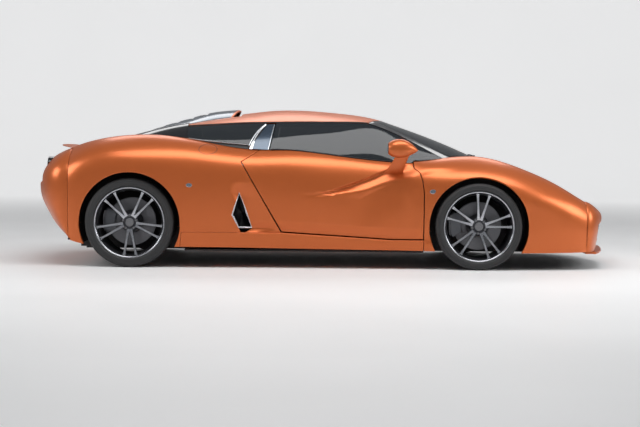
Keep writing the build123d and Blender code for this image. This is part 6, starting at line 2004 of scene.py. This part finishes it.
def make_side_details():
    """Fuel flap on the right, plain side lamps, arch lips and walls behind the wheels."""
    a = turns(60)
    flap = Mesh()
    ring = on_skin_all([(-857 + 66 * math.cos(k), 868 + 36 * math.sin(k)) for k in a])
    closed = np.vstack([ring, ring[:2]])
    middle = ring.mean(0)
    sweep(flap, closed, unit(closed - middle), (0, 0.8, 0.6), bar(3.2, 1.6, 0.6), caps=False)
    dress(flap.make("fuel_flap_line", [M["black"]], mirror=True), "body", "black_plastic")
    lamps = Mesh()
    for x, z, wide in ((795, 574, 26), (-987, 606, 24)):
        spot = on_skin(np.array([x]), z)[0]
        lamp = Mesh()
        lathe(lamp, [(-3, wide * 0.52), (1.2, wide * 0.5), (2.4, wide * 0.38), (2.8, 0.01)], 36, 0, 40)
        lathe(lamp, [(-3, wide * 0.62), (0.9, wide * 0.6), (1.4, wide * 0.52), (0.5, wide * 0.5)], 36, 1, 30)
        lamp.v = [v * (1.55, 1, 1) for v in lamp.v]
        lamps = merged(lamps, placed(lamp, *spot))
    sides("side_lamp_{s}", lamps, [M["bulb"], M["trim"]], "lens", "body")
    arches = (("front", FRONT_X, FRONT_ARCH, FRONT_R - 2), ("rear", REAR_X, REAR_ARCH, REAR_R - 2))
    for name, axle_x, radius, middle_z in arches:
        ring = lambda r, angles: [(axle_x + r * math.cos(k), middle_z + r * math.sin(k)) for k in angles]
        lip = Mesh()
        spots = [p for p in ring(radius + 1.5, np.radians(np.linspace(-18, 198, 90))) if p[1] > 160]
        path = on_skin_all(spots)
        toward = unit(np.array([(axle_x - p[0], 0, middle_z - p[2]) for p in path]))
        sweep(lip, path + (0, -5, 0) + 2 * toward, toward, (0, 1, 0), bar(7, 10, 3))
        sides(name + "_arch_lip_{s}", lip, [M["paint"]], "paint", "body")
        top = [p for p in ring(radius + 16, np.linspace(0, math.pi, 50)) if p[1] > WALL_FOOT]
        wall = [(top[0][0], WALL_FOOT)] + top + [(top[-1][0], WALL_FOOT)]
        upright = lambda x, z: np.stack(np.broadcast_arrays(x, WALL_Y, z), -1) * 1.0
        dom = (axle_x - 420, axle_x + 420, WALL_FOOT - 20, 760)
        plate = panel_mesh(upright, dom, [("xz", wall, True)], (axle_x, 0, 600), 24, 1, 3)
        sides(name + "_arch_wall_{s}", plate, [M["under"], M["under"]], "black_plastic", "body")


make_mirrors()
make_wipers()
make_intake()
make_side_details()


# ---- studio --------------------------------------------------------------------------------------
def glow_far(material):
    """Seen by the camera, the far floor and the backdrop are pale whatever light falls on them."""
    tree = material.node_tree
    place = tree.nodes.new("ShaderNodeTexCoord")
    length = tree.nodes.new("ShaderNodeVectorMath")
    length.operation = "LENGTH"
    far = tree.nodes.new("ShaderNodeMapRange")
    for key, value in (("From Min", 3.5), ("From Max", 13.0), ("To Min", 0.0), ("To Max", 0.55)):
        far.inputs[key].default_value = value
    rays = tree.nodes.new("ShaderNodeLightPath")
    seen = tree.nodes.new("ShaderNodeMath")
    seen.operation = "MULTIPLY"
    tree.links.new(place.outputs["Object"], length.inputs[0])
    tree.links.new(length.outputs["Value"], far.inputs["Value"])
    tree.links.new(far.outputs["Result"], seen.inputs[0])
    tree.links.new(rays.outputs["Is Camera Ray"], seen.inputs[1])
    bsdf = tree.nodes["Principled BSDF"]
    bsdf.inputs["Emission Color"].default_value = (1, 1, 1, 1)
    tree.links.new(seen.outputs["Value"], bsdf.inputs["Emission Strength"])


def make_studio():
    scene = bpy.context.scene
    scene.view_settings.view_transform = "Standard"
    camera = bpy.data.cameras.new("camera")
    camera.sensor_width = 36
    camera.lens = 82.8
    camera.clip_end = 100
    eye = bpy.data.objects.new("camera", camera)
    scene.collection.objects.link(eye)
    # Seen from the car's right, level and then tipped a little; without rotation a camera looks down.
    pitch, roll = math.radians(-2.86), math.radians(0.57)
    turn = Matrix.Rotation(math.pi / 2 + pitch, 4, "X") @ Matrix.Rotation(roll, 4, "Z")
    eye.location = (-0.031, -11.65, 0.944)
    eye.rotation_euler = turn.to_euler()
    scene.camera = eye

    floor_mesh = bpy.data.meshes.new("floor")
    bm = bmesh.new()
    rows = []
    for x in (-40, 40):
        line = [(x, -40, 0), (x, 13.5, 0)]
        line += [(x, 13.5 + 5 * math.sin(a), 5 - 5 * math.cos(a)) for a in np.linspace(0.1, math.pi / 2, 16)]
        line += [(x, 18.5, 14)]
        rows.append([bm.verts.new(p) for p in line])
    for k in range(len(rows[0]) - 1):
        bm.faces.new((rows[0][k], rows[0][k + 1], rows[1][k + 1], rows[1][k]))
    bm.to_mesh(floor_mesh)
    bm.free()
    for face in floor_mesh.polygons:
        face.use_smooth = True
    floor = bpy.data.objects.new("floor", floor_mesh)
    scene.collection.objects.link(floor)
    pale = shader("studio_floor", (0.80, 0.80, 0.80), 0.5)
    vary(pale, noise(pale, 0.6, 2), "Base Color", (0.78, 0.78, 0.78), (0.82, 0.82, 0.82))
    floor_mesh.materials.append(pale)
    glow_far(pale)

    world = bpy.data.worlds.new("studio")
    world.use_nodes = True
    world.node_tree.nodes["Background"].inputs["Color"].default_value = (0.85, 0.87, 0.90, 1)
    world.node_tree.nodes["Background"].inputs["Strength"].default_value = 0.30
    scene.world = world
    lamps = (
        ("key", (0.8, -2.6, 5.2), (0.2, 0, 0.6), 7.0, 2.4, 260),
        ("front", (5.6, -2.2, 2.6), (0.8, -0.2, 0.5), 2.6, 2.2, 110),
        ("rear", (-5.6, -2.0, 2.8), (-1.0, -0.2, 0.5), 2.6, 2.2, 90),
        ("far", (0.0, 3.4, 4.2), (0, 0, 0.7), 6.0, 1.6, 90),
    )
    for name, spot, aim, width, height, power in lamps:
        light = bpy.data.lights.new(name, "AREA")
        light.shape, light.size, light.size_y, light.energy = "RECTANGLE", width, height, power
        lamp = bpy.data.objects.new(name, light)
        lamp.location = spot
        lamp.rotation_euler = (Vector(aim) - Vector(spot)).to_track_quat("-Z", "Y").to_euler()
        scene.collection.objects.link(lamp)


make_studio()
